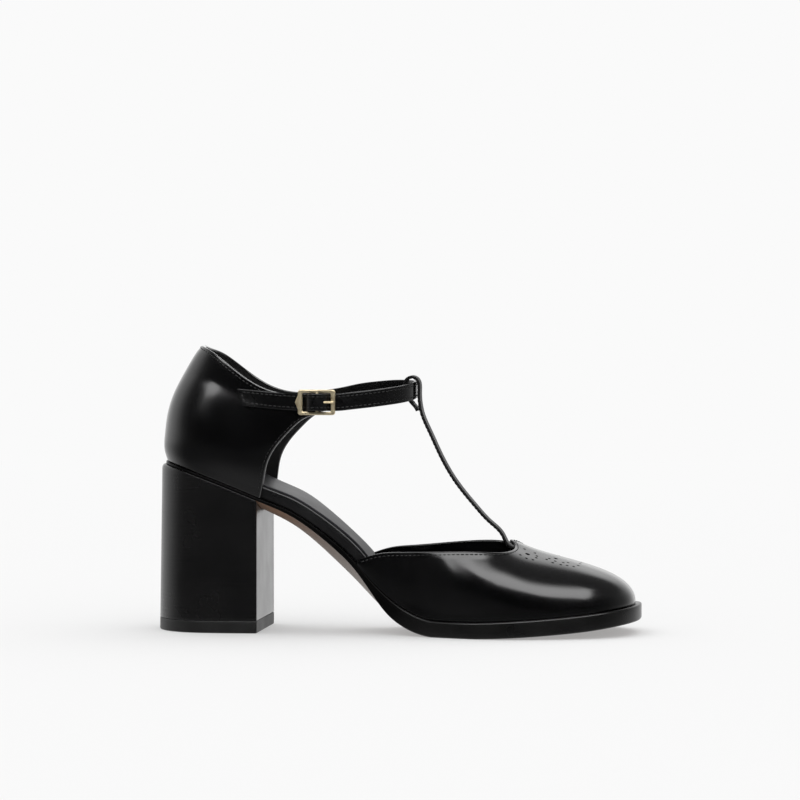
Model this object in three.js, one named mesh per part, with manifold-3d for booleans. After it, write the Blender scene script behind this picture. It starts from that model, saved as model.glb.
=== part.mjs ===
// High heel mary jane with a T strap, right shoe, in millimetres.
// The shoe points along +X, its outer side is at -Y and the floor is at Z = 0.
import * as THREE from 'three';
import { mergeVertices } from 'three/addons/utils/BufferGeometryUtils.js';
import Module from 'manifold-3d';

const wasm = await Module();
wasm.setup();

// Sole and last
const soleLength = 233.3;
const seatWidth = 52.4;
const waistWidth = 37.5;
const ballWidth = 80.8;
const toeWidth = 61;
const toeRounding = 26;
const toeFullness = 2.6;
const seatRounding = 24;
const seatFullness = 2.1;
const seatBack = 2;
const seatHeight = 81;
const soleThickness = 8;
const toeSpring = 6.8;
const waistCrown = 8;

// Heel
const heelLength = 48.4;
const heelFlare = 2.2;
const heelSideFlare = 0.33;
const heelOverhang = 0.6;
const heelRimBevel = 1.4;
const liftThickness = 5.9;

// Insole
const boardThickness = 5.4;
const boardDrop = 2.4;
const sockThickness = 0.7;
const boardMargin = 0.5;
const sockMargin = 0.4;

// Upper
const upperWall = 1.6;
const weltReach = 2.9;
const throatHeight = 45.2;
const collarHeight = 138.4;
const quarterMargin = 0.8;
const heelFullness = 0.05;
const medialBackset = 2;
const medialRise = 1.6;
const noseBulge = 0.3;

// Straps
const strapWidth = 8.2;
const strapThickness = 1.5;
const strapDrop = 3.42;
const instepHeight = 116.7;
const tStrapWidth = 7.6;
const tStrapThickness = 1.3;
const throatArch = 0.4;
const holeSpacing = 6.8;
const holeDiameter = 2.1;
const tailSlant = 3.4;

// Buckle
const buckleLength = 19.4;
const buckleHeight = 12.2;
const buckleRearBar = 2.25;
const buckleFrontBar = 2.15;
const buckleRail = 1.6;
const buckleThickness = 1.5;
const buckleCorner = 1.3;
const buckleBow = 6.4;
const buckleTip = 1.4;
const buckleEdge = 0.25;
const barDiameter = 1.5;
const tabThickness = 0.7;
const tabWidth = 6.6;
const tabGap = 0.2;
const prongDiameter = 1.3;

// Clearance between neighbouring pieces
const gap = 0.3;
const seatGap = 0.4;
const strapSeat = 0.45;

// Natural cubic spline through rows of numbers
function spline(knots, values) {
  const last = knots.length - 1;
  const bend = new Array(last + 1).fill(0);
  const carry = new Array(last + 1).fill(0);
  for (let i = 1; i < last; i++) {
    const before = knots[i] - knots[i - 1];
    const after = knots[i + 1] - knots[i];
    const jump = (values[i + 1] - values[i]) / after - (values[i] - values[i - 1]) / before;
    const pivot = 2 * (before + after) - before * carry[i - 1];
    carry[i] = after / pivot;
    bend[i] = (6 * jump - before * bend[i - 1]) / pivot;
  }
  for (let i = last - 1; i > 0; i--) {
    bend[i] -= carry[i] * bend[i + 1];
  }
  return (at) => {
    let i = 0;
    while (i < last - 1 && at > knots[i + 1]) {
      i++;
    }
    const span = knots[i + 1] - knots[i];
    const a = (knots[i + 1] - at) / span;
    const b = (at - knots[i]) / span;
    const curve = (a ** 3 - a) * bend[i] + (b ** 3 - b) * bend[i + 1];
    return a * values[i] + b * values[i + 1] + curve * span ** 2 / 6;
  };
}

// One column of a table as a smooth function of another column
function column(rows, key, name) {
  return spline(rows.map((row) => row[key]), rows.map((row) => row[name]));
}

// Half widths of the outsole at shares of its length, each a share of a named width
const planRows = [
  { along: 0.00, of: seatWidth, lateral: 0.487, medial: 0.487 },
  { along: 0.10, of: seatWidth, lateral: 0.500, medial: 0.500 },
  { along: 0.20, of: seatWidth, lateral: 0.492, medial: 0.480 },
  { along: 0.26, of: waistWidth, lateral: 0.640, medial: 0.575 },
  { along: 0.32, of: waistWidth, lateral: 0.595, medial: 0.470 },
  { along: 0.38, of: waistWidth, lateral: 0.575, medial: 0.415 },
  { along: 0.44, of: waistWidth, lateral: 0.605, medial: 0.430 },
  { along: 0.50, of: ballWidth, lateral: 0.322, medial: 0.242 },
  { along: 0.56, of: ballWidth, lateral: 0.384, medial: 0.316 },
  { along: 0.62, of: ballWidth, lateral: 0.446, medial: 0.396 },
  { along: 0.68, of: ballWidth, lateral: 0.487, medial: 0.464 },
  { along: 0.74, of: ballWidth, lateral: 0.495, medial: 0.501 },
  { along: 0.80, of: ballWidth, lateral: 0.470, medial: 0.507 },
  { along: 0.86, of: ballWidth, lateral: 0.421, medial: 0.489 },
  { along: 0.92, of: toeWidth, lateral: 0.475, medial: 0.590 },
  { along: 1.00, of: toeWidth, lateral: 0.375, medial: 0.490 },
];
const halfWidth = {
  lateral: spline(planRows.map((row) => row.along), planRows.map((row) => row.of * row.lateral)),
  medial: spline(planRows.map((row) => row.along), planRows.map((row) => row.of * row.medial)),
};

// Edge heights of the outsole: rise is a share of the seat height, spring of the toe spring,
// thick of the sole thickness and crown of the waist crown
const profileRows = [
  { along: 0.000, rise: 1.0000, spring: 0.00, thick: 0.175, crown: 0.00 },
  { along: 0.050, rise: 0.9690, spring: 0.00, thick: 0.175, crown: 0.25 },
  { along: 0.110, rise: 0.9110, spring: 0.00, thick: 0.175, crown: 0.48 },
  { along: 0.190, rise: 0.8200, spring: 0.00, thick: 0.175, crown: 0.64 },
  { along: 0.235, rise: 0.7660, spring: 0.00, thick: 0.190, crown: 0.70 },
  { along: 0.280, rise: 0.7070, spring: 0.00, thick: 0.265, crown: 0.78 },
  { along: 0.325, rise: 0.6230, spring: 0.00, thick: 0.320, crown: 0.90 },
  { along: 0.372, rise: 0.5130, spring: 0.00, thick: 0.400, crown: 1.02 },
  { along: 0.420, rise: 0.3760, spring: 0.00, thick: 0.480, crown: 0.98 },
  { along: 0.461, rise: 0.2160, spring: 0.00, thick: 0.790, crown: 0.50 },
  { along: 0.486, rise: 0.1280, spring: 0.00, thick: 1.030, crown: 0.12 },
  { along: 0.516, rise: 0.0620, spring: 0.00, thick: 1.080, crown: 0.00 },
  { along: 0.545, rise: 0.0230, spring: 0.00, thick: 1.050, crown: 0.00 },
  { along: 0.585, rise: 0.0000, spring: -0.01, thick: 0.975, crown: 0.00 },
  { along: 0.650, rise: 0.0000, spring: -0.03, thick: 0.955, crown: 0.00 },
  { along: 0.710, rise: 0.0000, spring: 0.04, thick: 0.975, crown: 0.00 },
  { along: 0.770, rise: 0.0000, spring: 0.14, thick: 1.000, crown: 0.00 },
  { along: 0.825, rise: 0.0000, spring: 0.27, thick: 1.000, crown: 0.00 },
  { along: 0.900, rise: 0.0000, spring: 0.50, thick: 1.000, crown: 0.00 },
  { along: 1.000, rise: 0.0000, spring: 1.00, thick: 0.950, crown: 0.00 },
];
const riseShare = column(profileRows, 'along', 'rise');
const springShare = column(profileRows, 'along', 'spring');
const thickShare = column(profileRows, 'along', 'thick');
const crownShare = column(profileRows, 'along', 'crown');

// How far inside the sole's edge the upper stands, and the board inside it in walls of the upper
const insetRows = [
  { along: 0.00, edge: quarterMargin, walls: 1.62 },
  { along: 0.21, edge: quarterMargin, walls: 1.50 },
  { along: 0.28, edge: weltReach * 0.10, walls: 0.81 },
  { along: 0.36, edge: weltReach * 0.10, walls: 0.81 },
  { along: 0.42, edge: weltReach * 0.10, walls: 1.44 },
  { along: 0.50, edge: weltReach * 0.38, walls: 1.75 },
  { along: 0.60, edge: weltReach * 0.90, walls: 1.88 },
  { along: 0.70, edge: weltReach, walls: 2.06 },
  { along: 1.00, edge: weltReach, walls: 2.06 },
];

const clampShare = (value) => Math.min(1, Math.max(0, value));
const mix = (from, to, share) => from + (to - from) * share;

function rounding(distance, length, fullness) {
  const share = 1 - clampShare(distance / length);
  return (1 - share ** fullness) ** (1 / fullness);
}

// Y of the outsole's edge at x, moved inwards by inset
function edgeY(x, side, inset) {
  const along = x / soleLength;
  const lateral = inset - halfWidth.lateral(along);
  const medial = halfWidth.medial(along) - inset;
  const middle = (lateral + medial) / 2;
  const half = (medial - lateral) / 2;
  const toe = rounding(soleLength - inset - x, toeRounding, toeFullness);
  const seat = rounding(x - seatBack - inset, seatRounding, seatFullness);
  return middle + side * half * toe * seat;
}

function soleBottom(x) {
  const along = x / soleLength;
  return Math.max(0, riseShare(along) * seatHeight + springShare(along) * toeSpring);
}

function soleTop(x) {
  return soleBottom(x) + thickShare(x / soleLength) * soleThickness;
}

// Vertical height of a layer of this thickness lying on the sloping sole
function upright(x, thickness) {
  const slope = soleTop(x + 0.5) - soleTop(x - 0.5);
  return thickness * Math.hypot(1, slope);
}

// Running lengths along a list of points
function runningLengths(points) {
  const lengths = [0];
  for (let i = 1; i < points.length; i++) {
    lengths.push(lengths[i - 1] + points[i].distanceTo(points[i - 1]));
  }
  return lengths;
}

// Points at equal steps along a polyline
function evenly(points) {
  const lengths = runningLengths(points);
  const total = lengths[lengths.length - 1];
  return (share) => {
    const target = clampShare(share) * total;
    let i = 1;
    while (i < lengths.length - 1 && lengths[i] < target) {
      i++;
    }
    const part = (target - lengths[i - 1]) / (lengths[i] - lengths[i - 1]);
    return points[i - 1].clone().lerp(points[i], part);
  };
}

// Closed solid whose surface is a box of cells placed by a function of three shares
function cellSolid(cells, place) {
  const positions = [];
  const faces = [];
  const known = new Map();
  const vertex = (i, j, k) => {
    const key = `${i} ${j} ${k}`;
    if (!known.has(key)) {
      known.set(key, positions.length / 3);
      positions.push(...place(i / cells[0], j / cells[1], k / cells[2]));
    }
    return known.get(key);
  };
  const quad = (a, b, c, d) => faces.push(a, b, c, a, c, d);
  for (const axis of [0, 1, 2]) {
    const [u, v] = [0, 1, 2].filter((other) => other !== axis);
    for (let i = 0; i < cells[u]; i++) {
      for (let j = 0; j < cells[v]; j++) {
        for (const end of [0, 1]) {
          const corner = (di, dj) => {
            const at = [0, 0, 0];
            at[axis] = end * cells[axis];
            at[u] = i + di;
            at[v] = j + dj;
            return vertex(...at);
          };
          const loop = [corner(0, 0), corner(1, 0), corner(1, 1), corner(0, 1)];
          const outwards = (end === 1) !== (axis === 1);
          quad(...(outwards ? loop : loop.reverse()));
        }
      }
    }
  }
  return closedGeometry(positions, faces);
}

// Geometry whose faces point outwards
function closedGeometry(positions, faces) {
  let volume = 0;
  const point = (index) => new THREE.Vector3().fromArray(positions, index * 3);
  for (let i = 0; i < faces.length; i += 3) {
    volume += point(faces[i]).cross(point(faces[i + 1])).dot(point(faces[i + 2]));
  }
  const geometry = new THREE.BufferGeometry();
  geometry.setAttribute('position', new THREE.Float32BufferAttribute(positions, 3));
  geometry.setIndex(volume > 0 ? faces : faces.slice().reverse());
  geometry.computeVertexNormals();
  return geometry;
}

// Boolean joins and cuts
function toManifold(geometry) {
  const bare = geometry.clone();
  bare.deleteAttribute('normal');
  bare.deleteAttribute('uv');
  const merged = mergeVertices(bare, 1e-5);
  const vertProperties = new Float32Array(merged.attributes.position.array);
  const triVerts = new Uint32Array(merged.index.array);
  return new wasm.Manifold(new wasm.Mesh({ numProp: 3, vertProperties, triVerts }));
}

function fromManifold(solid) {
  const mesh = solid.getMesh();
  const geometry = new THREE.BufferGeometry();
  geometry.setAttribute('position', new THREE.BufferAttribute(mesh.vertProperties, 3));
  geometry.setIndex(new THREE.BufferAttribute(mesh.triVerts, 1));
  geometry.computeVertexNormals();
  return geometry;
}

// Finishes
function finish(color, roughness, metalness = 0) {
  return new THREE.MeshStandardMaterial({ color, roughness, metalness });
}
const blackLeather = finish(0x0b0b0d, 0.22);
const blackStrap = finish(0x101012, 0.35);
const soleLeather = finish(0x141315, 0.4);
const stackedLeather = finish(0x171719, 0.45);
const liftRubber = finish(0x0d0d0e, 0.7);
const sockLeather = finish(0x1c1b1d, 0.5);
const paleGold = finish(0xc9ab72, 0.25, 1);

const shoe = new THREE.Group();
function add(name, geometry, material) {
  const mesh = new THREE.Mesh(geometry, material);
  mesh.name = name;
  shoe.add(mesh);
}

const tipFlat = 0.02;

// Stations of the sole's layers, at equal steps along the outer edge
const edgePoints = [];
for (let i = 0; i <= 600; i++) {
  const x = mix(seatBack + tipFlat, soleLength - tipFlat, (1 - Math.cos(Math.PI * i / 600)) / 2);
  edgePoints.push(new THREE.Vector3(x, edgeY(x, -1, 0), soleTop(x)));
}
const edgeStation = evenly(edgePoints);
function layerX(u, backInset, toeInset) {
  const share = (edgeStation(u).x - seatBack) / (soleLength - seatBack);
  return mix(seatBack + backInset, soleLength - toeInset, share);
}

// Outsole: one leather sole from the heel seat to the toe, crowned under the waist
function outsole() {
  return cellSolid([56, 6, 1], (u, v, w) => {
    const x = layerX(u, 0, 0);
    const y = mix(edgeY(x, -1, 0), edgeY(x, 1, 0), v);
    const crown = waistCrown * crownShare(x / soleLength) * (1 - (2 * v - 1) ** 2);
    return [x, y, w === 1 ? soleTop(x) : Math.max(0, soleBottom(x) - Math.max(0, crown))];
  });
}

// Height of the outsole's crowned underside at a point over the heel
function seatUnderside(at, y) {
  const x = Math.max(at, seatBack + tipFlat);
  const lateral = edgeY(x, -1, 0);
  const medial = edgeY(x, 1, 0);
  const across = clampShare((y - lateral) / (medial - lateral));
  const crown = waistCrown * crownShare(x / soleLength) * (1 - (2 * across - 1) ** 2);
  return soleBottom(x) - crown;
}

// Heel: a tall block of stacked leather with a flat breast, a little wider at the floor
const liftTop = liftThickness;
const heelBottom = liftTop + gap;
function heelPoint(u, v, height) {
  const lowness = 1 - height / seatHeight;
  const x = mix(seatBack + tipFlat, seatBack + heelLength, 1 - Math.cos(u * Math.PI / 2));
  const y = mix(edgeY(x, -1, 0), edgeY(x, 1, 0), v);
  const backward = 1 - (x - seatBack) / heelLength;
  const widening = heelSideFlare * lowness * (2 * v - 1);
  return [x - (heelFlare * lowness + heelOverhang) * backward, y + widening, height];
}
function heelBlock() {
  const rings = [0, 0.5, 0.955, 1];
  return cellSolid([12, 6, 3], (u, v, w) => {
    const ring = rings[Math.round(w * 3)];
    const bevel = ring === 1 ? heelRimBevel / 2 : 0;
    let point = heelPoint(u, v, seatHeight);
    for (let pass = 0; pass < 3; pass++) {
      const top = seatUnderside(point[0], point[1]) - seatGap;
      point = heelPoint(u, v, mix(heelBottom, top, ring));
      point[0] += bevel * (1 - u);
      point[1] -= bevel * u * (2 * v - 1);
    }
    return point;
  });
}
function topLift() {
  return cellSolid([12, 4, 1], (u, v, w) => heelPoint(u, v, w * liftTop));
}

// Insole board and the sock on it
const edgeInset = column(insetRows, 'along', 'edge');
const wallInset = column(insetRows, 'along', 'walls');
const boardInset = (along) => edgeInset(along) + wallInset(along) * upperWall;
const boardTaper = spline([0, 0.40, 0.47, 0.56, 0.66, 1], [1, 1, 0.9, 0.5, 0.4, 0.4]);
const boardCant = spline([0, 0.22, 0.32, 0.43, 0.52, 0.62, 1], [0, 0, 0.35, 1, 0.7, 0, 0]);
function boardTop(x, across) {
  const thickness = boardThickness * boardTaper(x / soleLength);
  return soleTop(x) + seatGap + upright(x, thickness) - boardDrop * boardCant(x / soleLength) * across;
}
const layerFlat = 0.3;
function layerPoint(u, v, extra) {
  const ends = extra + layerFlat;
  const x = layerX(u, boardInset(0) + ends, boardInset(1) + ends);
  const inset = boardInset(x / soleLength) + extra;
  return [x, mix(edgeY(x, -1, inset), edgeY(x, 1, inset), v)];
}
function insoleBoard() {
  return cellSolid([48, 2, 1], (u, v, w) => {
    const [x, y] = layerPoint(u, v, boardMargin);
    return [x, y, w === 1 ? boardTop(x, v) : soleTop(x) + seatGap];
  });
}
function sockLining() {
  return cellSolid([48, 2, 1], (u, v, w) => {
    const [x, y] = layerPoint(u, v, boardMargin + sockMargin);
    return [x, y, boardTop(x, v) + upright(x, gap + w * sockThickness)];
  });
}

// Line where the vamp stands on the sole, from the toe tip back to its rear tip
const vampRear = 0.4215;
function footLine(side) {
  const points = [];
  const steps = 400;
  for (let i = 0; i <= steps; i++) {
    const turn = (i / steps) ** 1.7;
    const reach = soleLength - weltReach - tipFlat;
    const x = mix(reach, vampRear * soleLength, turn);
    points.push(new THREE.Vector3(x, edgeY(x, side, edgeInset(x / soleLength)), soleTop(x) + seatGap));
  }
  points[0].y = edgeY(soleLength - weltReach - tipFlat, 0, weltReach);
  return evenly(points);
}
const vampFoot = { '-1': footLine(-1), '1': footLine(1) };

// Topline of the vamp and its ribs, from the throat round to the rear tip: slopes in degrees,
// stand, reach, out and up as shares of the throat's height
const vampRows = [
  { round: 0.00, along: 0.7312, across: 0.000, rise: 1.000, slope: 30.6,
    stand: 0.162, reach: 0.487, mid: 0.14, out: 0.000, up: 0.230 },
  { round: 0.10, along: 0.7380, across: 0.093, rise: 0.979, slope: 30.0,
    stand: 0.164, reach: 0.465, mid: 0.15, out: 0.004, up: 0.226 },
  { round: 0.20, along: 0.7440, across: 0.200, rise: 0.942, slope: 29.5,
    stand: 0.173, reach: 0.420, mid: 0.17, out: 0.013, up: 0.208 },
  { round: 0.30, along: 0.7440, across: 0.325, rise: 0.918, slope: 30.5,
    stand: 0.181, reach: 0.354, mid: 0.21, out: 0.027, up: 0.177 },
  { round: 0.40, along: 0.7360, across: 0.475, rise: 0.903, slope: 34.0,
    stand: 0.190, reach: 0.288, mid: 0.28, out: 0.042, up: 0.133 },
  { round: 0.50, along: 0.7160, across: 0.635, rise: 0.900, slope: 41.0,
    stand: 0.199, reach: 0.243, mid: 0.36, out: 0.051, up: 0.084 },
  { round: 0.60, along: 0.6730, across: 0.755, rise: 0.912, slope: 53.0,
    stand: 0.199, reach: 0.221, mid: 0.44, out: 0.046, up: 0.040 },
  { round: 0.70, along: 0.6080, across: 0.825, rise: 0.905, slope: 64.0,
    stand: 0.188, reach: 0.199, mid: 0.50, out: 0.033, up: 0.011 },
  { round: 0.85, along: 0.5140, across: 0.900, rise: 0.885, slope: 76.0,
    stand: 0.133, reach: 0.133, mid: 0.50, out: 0.015, up: 0.000 },
  { round: 0.93, along: 0.4660, across: 0.955, rise: 0.862, slope: 84.0,
    stand: 0.077, reach: 0.077, mid: 0.50, out: 0.004, up: 0.000 },
  { round: 1.00, along: 0.4220, across: 0.986, rise: 0.785, slope: 88.0,
    stand: 0.009, reach: 0.009, mid: 0.50, out: 0.000, up: 0.000 },
];

// A table column as a function of the way round both sides, mirrored at the middle
function mirrored(rows, name, odd) {
  const far = rows.slice(1).reverse();
  const knots = far.map((row) => -row.round).concat(rows.map((row) => row.round));
  const sign = odd ? -1 : 1;
  const values = far.map((row) => sign * row[name]).concat(rows.map((row) => row[name]));
  return spline(knots, values);
}
const vampAt = {};
for (const name of ['along', 'rise', 'slope', 'stand', 'reach', 'mid', 'out', 'up']) {
  vampAt[name] = mirrored(vampRows, name, false);
}
vampAt.across = mirrored(vampRows, 'across', true);

const upwards = new THREE.Vector3(0, 0, 1);

// Weights of a Bezier curve of five points
function bezier(points, t) {
  const s = 1 - t;
  const weights = [s ** 4, 4 * s ** 3 * t, 6 * s * s * t * t, 4 * s * t ** 3, t ** 4];
  const sum = new THREE.Vector3();
  points.forEach((point, i) => sum.addScaledVector(point, weights[i]));
  return sum;
}

const vampInside = new THREE.Vector3(0.72 * soleLength, 0, 0.2 * throatHeight);

// Outer face of the vamp: around runs from -1 at the lateral tip to 1 at the medial tip
const ribCache = new Map();
function vampRib(around) {
  if (ribCache.has(around)) {
    return ribCache.get(around);
  }
  const side = around < 0 ? -1 : 1;
  const foot = vampFoot[side](Math.abs(around));
  const step = 0.004;
  const ahead = Math.min(1, around + step);
  const behind = Math.max(-1, around - step);
  const tangent = vampFoot[ahead < 0 ? -1 : 1](Math.abs(ahead));
  tangent.sub(vampFoot[behind < 0 ? -1 : 1](Math.abs(behind)));
  const outward = new THREE.Vector3(tangent.y, -tangent.x, 0).normalize();
  if (outward.dot(foot) < outward.dot(vampInside)) {
    outward.negate();
  }
  const x = vampAt.along(around) * soleLength;
  const share = vampAt.across(around);
  const y = Math.abs(share) * edgeY(x, share < 0 ? -1 : 1, 0);
  const lift = side > 0 ? medialRise * Math.sin(Math.PI * around) ** 2 : 0;
  const top = new THREE.Vector3(x, y, vampAt.rise(around) * throatHeight + lift);
  const inward = new THREE.Vector3(top.x - foot.x, top.y - foot.y, 0);
  inward.addScaledVector(outward, -upperWall).normalize();
  const slope = THREE.MathUtils.degToRad(vampAt.slope(around));
  const arrive = inward.multiplyScalar(Math.cos(slope)).addScaledVector(upwards, Math.sin(slope));
  const low = foot.clone().addScaledVector(outward, noseBulge);
  low.addScaledVector(upwards, vampAt.stand(around) * throatHeight);
  const high = top.clone().addScaledVector(arrive, -vampAt.reach(around) * throatHeight);
  const middle = low.clone().lerp(high, vampAt.mid(around));
  middle.addScaledVector(upwards, vampAt.up(around) * throatHeight);
  middle.addScaledVector(outward, vampAt.out(around) * throatHeight);
  const rib = [foot, low, middle, high, top];
  ribCache.set(around, rib);
  return rib;
}
function vampOuter(around, up) {
  return bezier(vampRib(around), up);
}
function surfaceNormal(surface, a, b, lowA, highA, inside) {
  const step = 0.004;
  const alongA = surface(Math.min(highA, a + step), b).sub(surface(Math.max(lowA, a - step), b));
  const alongB = surface(a, Math.min(1, b + step)).sub(surface(a, Math.max(0, b - step)));
  const normal = alongA.cross(alongB).normalize();
  const outwards = surface(a, b).sub(inside);
  return normal.dot(outwards) < 0 ? normal.negate() : normal;
}
function vampNormal(around, up) {
  return surfaceNormal(vampOuter, around, up, -1, 1, vampInside);
}
function vamp() {
  return cellSolid([54, 11, 1], (u, v, w) => {
    const around = 2 * u - 1;
    const up = v ** 0.9;
    const point = vampOuter(around, up);
    point.addScaledVector(vampNormal(around, up), (w - 1) * upperWall);
    point.z = Math.max(point.z, soleTop(point.x) + seatGap);
    return point.toArray();
  });
}

// Quarter: the back of the upper, from wing to wing round the heel
const quarterFront = 0.223;
function seatLine(side) {
  const points = [];
  const steps = 300;
  const back = seatBack + quarterMargin + tipFlat;
  for (let i = 0; i <= steps; i++) {
    const x = mix(back, quarterFront * soleLength, (i / steps) ** 1.7);
    points.push(new THREE.Vector3(x, edgeY(x, side, quarterMargin), soleTop(x) + seatGap));
  }
  points[0].y = edgeY(back, 0, quarterMargin);
  return evenly(points);
}
const quarterFoot = { '-1': seatLine(-1), '1': seatLine(1) };

// Collar, as shares of the sole's length, the seat's width and the collar height
const collarRows = [
  { round: 0.00, along: 0.0885, across: 0.000, rise: 1.0000, drop: 0.000 },
  { round: 0.10, along: 0.0898, across: 0.097, rise: 0.9990, drop: 0.004 },
  { round: 0.20, along: 0.0965, across: 0.195, rise: 0.9950, drop: 0.010 },
  { round: 0.30, along: 0.1130, across: 0.290, rise: 0.9830, drop: 0.013 },
  { round: 0.45, along: 0.1490, across: 0.380, rise: 0.9420, drop: 0.019 },
  { round: 0.60, along: 0.1950, across: 0.434, rise: 0.8860, drop: 0.020 },
  { round: 0.75, along: 0.2480, across: 0.458, rise: 0.8440, drop: 0.012 },
  { round: 0.88, along: 0.3000, across: 0.456, rise: 0.8310, drop: 0.004 },
  { round: 1.00, along: 0.3470, across: 0.447, rise: 0.8300, drop: 0.000 },
];
const collarAt = {
  along: mirrored(collarRows, 'along', false),
  across: mirrored(collarRows, 'across', true),
  rise: mirrored(collarRows, 'rise', false),
  drop: mirrored(collarRows, 'drop', false),
};

// Back seam and front edge as functions of the way up
const backRows = [
  { up: 0.00, along: 0.0120, rise: 0.000 },
  { up: 0.08, along: 0.0055, rise: 0.075 },
  { up: 0.24, along: 0.0060, rise: 0.240 },
  { up: 0.40, along: 0.0111, rise: 0.395 },
  { up: 0.55, along: 0.0219, rise: 0.550 },
  { up: 0.72, along: 0.0411, rise: 0.716 },
  { up: 0.87, along: 0.0626, rise: 0.871 },
  { up: 0.96, along: 0.0800, rise: 0.970 },
  { up: 1.00, along: 0.0885, rise: 1.000 },
];
const frontRows = [
  { up: 0.000, along: 0.2230, across: 0.466, rise: 0.000 },
  { up: 0.130, along: 0.2306, across: 0.485, rise: 0.146 },
  { up: 0.260, along: 0.2357, across: 0.497, rise: 0.272 },
  { up: 0.390, along: 0.2440, across: 0.500, rise: 0.395 },
  { up: 0.510, along: 0.2602, across: 0.494, rise: 0.520 },
  { up: 0.620, along: 0.2855, across: 0.479, rise: 0.655 },
  { up: 0.710, along: 0.3200, across: 0.462, rise: 0.785 },
  { up: 0.780, along: 0.3470, across: 0.453, rise: 0.820 },
  { up: 0.890, along: 0.3470, across: 0.450, rise: 0.910 },
  { up: 1.000, along: 0.3470, across: 0.447, rise: 1.000 },
];
const backAt = { along: column(backRows, 'up', 'along'), rise: column(backRows, 'up', 'rise') };
const frontAt = {
  along: column(frontRows, 'up', 'along'),
  across: column(frontRows, 'up', 'across'),
  rise: column(frontRows, 'up', 'rise'),
};

function collarPoint(around) {
  const side = around < 0 ? -1 : 1;
  const drop = side > 0 ? collarAt.drop(around) : 0;
  return new THREE.Vector3(collarAt.along(around) * soleLength, collarAt.across(around) * seatWidth,
    (collarAt.rise(around) - drop) * collarHeight);
}
function quarterOuter(around, up) {
  const side = around < 0 ? -1 : 1;
  const share = Math.abs(around);
  const foot = quarterFoot[side];
  const blend = share * share * (3 - 2 * share);
  const footBack = foot(0);
  const footFront = foot(1);
  const backTop = collarPoint(0);
  const frontTop = collarPoint(side);
  const back = new THREE.Vector3(backAt.along(up) * soleLength, footBack.y * (1 - up),
    mix(footBack.z, backTop.z, backAt.rise(up)));
  const backset = side > 0 ? medialBackset * Math.sin(Math.PI * Math.min(1, up / 0.8)) ** 0.5 : 0;
  const front = new THREE.Vector3(frontAt.along(up) * soleLength - backset,
    side * frontAt.across(up) * seatWidth, mix(footFront.z, frontTop.z, frontAt.rise(up)));
  const low = foot(share).sub(footBack.clone().lerp(footFront, blend));
  const high = collarPoint(around).sub(backTop.clone().lerp(frontTop, blend));
  const point = back.lerp(front, blend).addScaledVector(low, 1 - up).addScaledVector(high, up);
  point.y *= 1 + heelFullness * Math.sin(Math.PI * up ** 0.8) * (1 - share ** 4);
  return point;
}
const quarterInside = new THREE.Vector3(0.16 * soleLength, 0, 0.72 * collarHeight);
function quarterNormal(around, up) {
  return surfaceNormal(quarterOuter, around, up, -1, 1, quarterInside);
}
function heelQuarter() {
  return cellSolid([44, 14, 1], (u, v, w) => {
    const around = 2 * u - 1;
    const point = quarterOuter(around, v);
    point.addScaledVector(quarterNormal(around, v), (w - 1) * upperWall);
    point.z = Math.max(point.z, soleTop(point.x) + seatGap);
    return point.toArray();
  });
}

// Place on the outer face of the quarter at this x and z, with its outward normal
function quarterAt(x, z, side) {
  let around = side * 0.7;
  let up = 0.7;
  for (let pass = 0; pass < 30; pass++) {
    const point = quarterOuter(around, up);
    const missX = x - point.x;
    const missZ = z - point.z;
    if (Math.hypot(missX, missZ) < 1e-4) {
      break;
    }
    const step = 1e-3;
    const turned = quarterOuter(around + step, up).sub(point).divideScalar(step);
    const raised = quarterOuter(around, up + step).sub(point).divideScalar(step);
    const area = turned.x * raised.z - turned.z * raised.x;
    around += 0.8 * (missX * raised.z - missZ * raised.x) / area;
    up += 0.8 * (turned.x * missZ - turned.z * missX) / area;
    around = side * Math.min(1, Math.max(0.02, side * around));
    up = Math.min(1 - step, Math.max(0, up));
  }
  return { point: quarterOuter(around, up), normal: quarterNormal(around, up) };
}

// Smooth curve through points, sampled finely and walked at equal steps
function smoothRoute(points) {
  const knots = runningLengths(points);
  const axes = ['x', 'y', 'z'].map((axis) => spline(knots, points.map((point) => point[axis])));
  const samples = [];
  const count = 600;
  for (let i = 0; i <= count; i++) {
    const at = knots[knots.length - 1] * i / count;
    samples.push(new THREE.Vector3(axes[0](at), axes[1](at), axes[2](at)));
  }
  return evenly(samples);
}

// Unit direction of a route
function heading(route, share) {
  const step = 0.003;
  return route(Math.min(1, share + step)).sub(route(Math.max(0, share - step))).normalize();
}

// Flat frame of the outer wing under the buckle: forward, upward and outward distances
const wingHeight = collarRows[collarRows.length - 1].rise * collarHeight - strapDrop;
const buckleAt = 0.3388;
const wingMiddle = quarterAt(buckleAt * soleLength, wingHeight, -1).point;
const wingBehind = quarterAt((buckleAt - 0.05) * soleLength, wingHeight, -1).point;
const wingAbove = quarterAt(buckleAt * soleLength, wingHeight + 2, -1).point;
const wingForward = wingMiddle.clone().sub(wingBehind).normalize();
const wingUpward = wingAbove.sub(wingMiddle);
wingUpward.addScaledVector(wingForward, -wingUpward.dot(wingForward)).normalize();
const wingOutward = wingForward.clone().cross(wingUpward);
function onWing(forward, upward, outward) {
  const point = wingMiddle.clone().addScaledVector(wingForward, forward);
  return point.addScaledVector(wingUpward, upward).addScaledVector(wingOutward, outward);
}

// Levels above the wing: the tab, the centre bar that it holds and the strap humped over both
const barForward = 0.75;
const buckleReach = buckleLength / 2;
const barLevel = gap + tabThickness + tabGap + barDiameter / 2;
const strapHump = barLevel + barDiameter / 2 + tabThickness + 3 * tabGap - strapSeat;
const frameLevel = strapSeat + strapThickness + gap + buckleThickness / 2;

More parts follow.
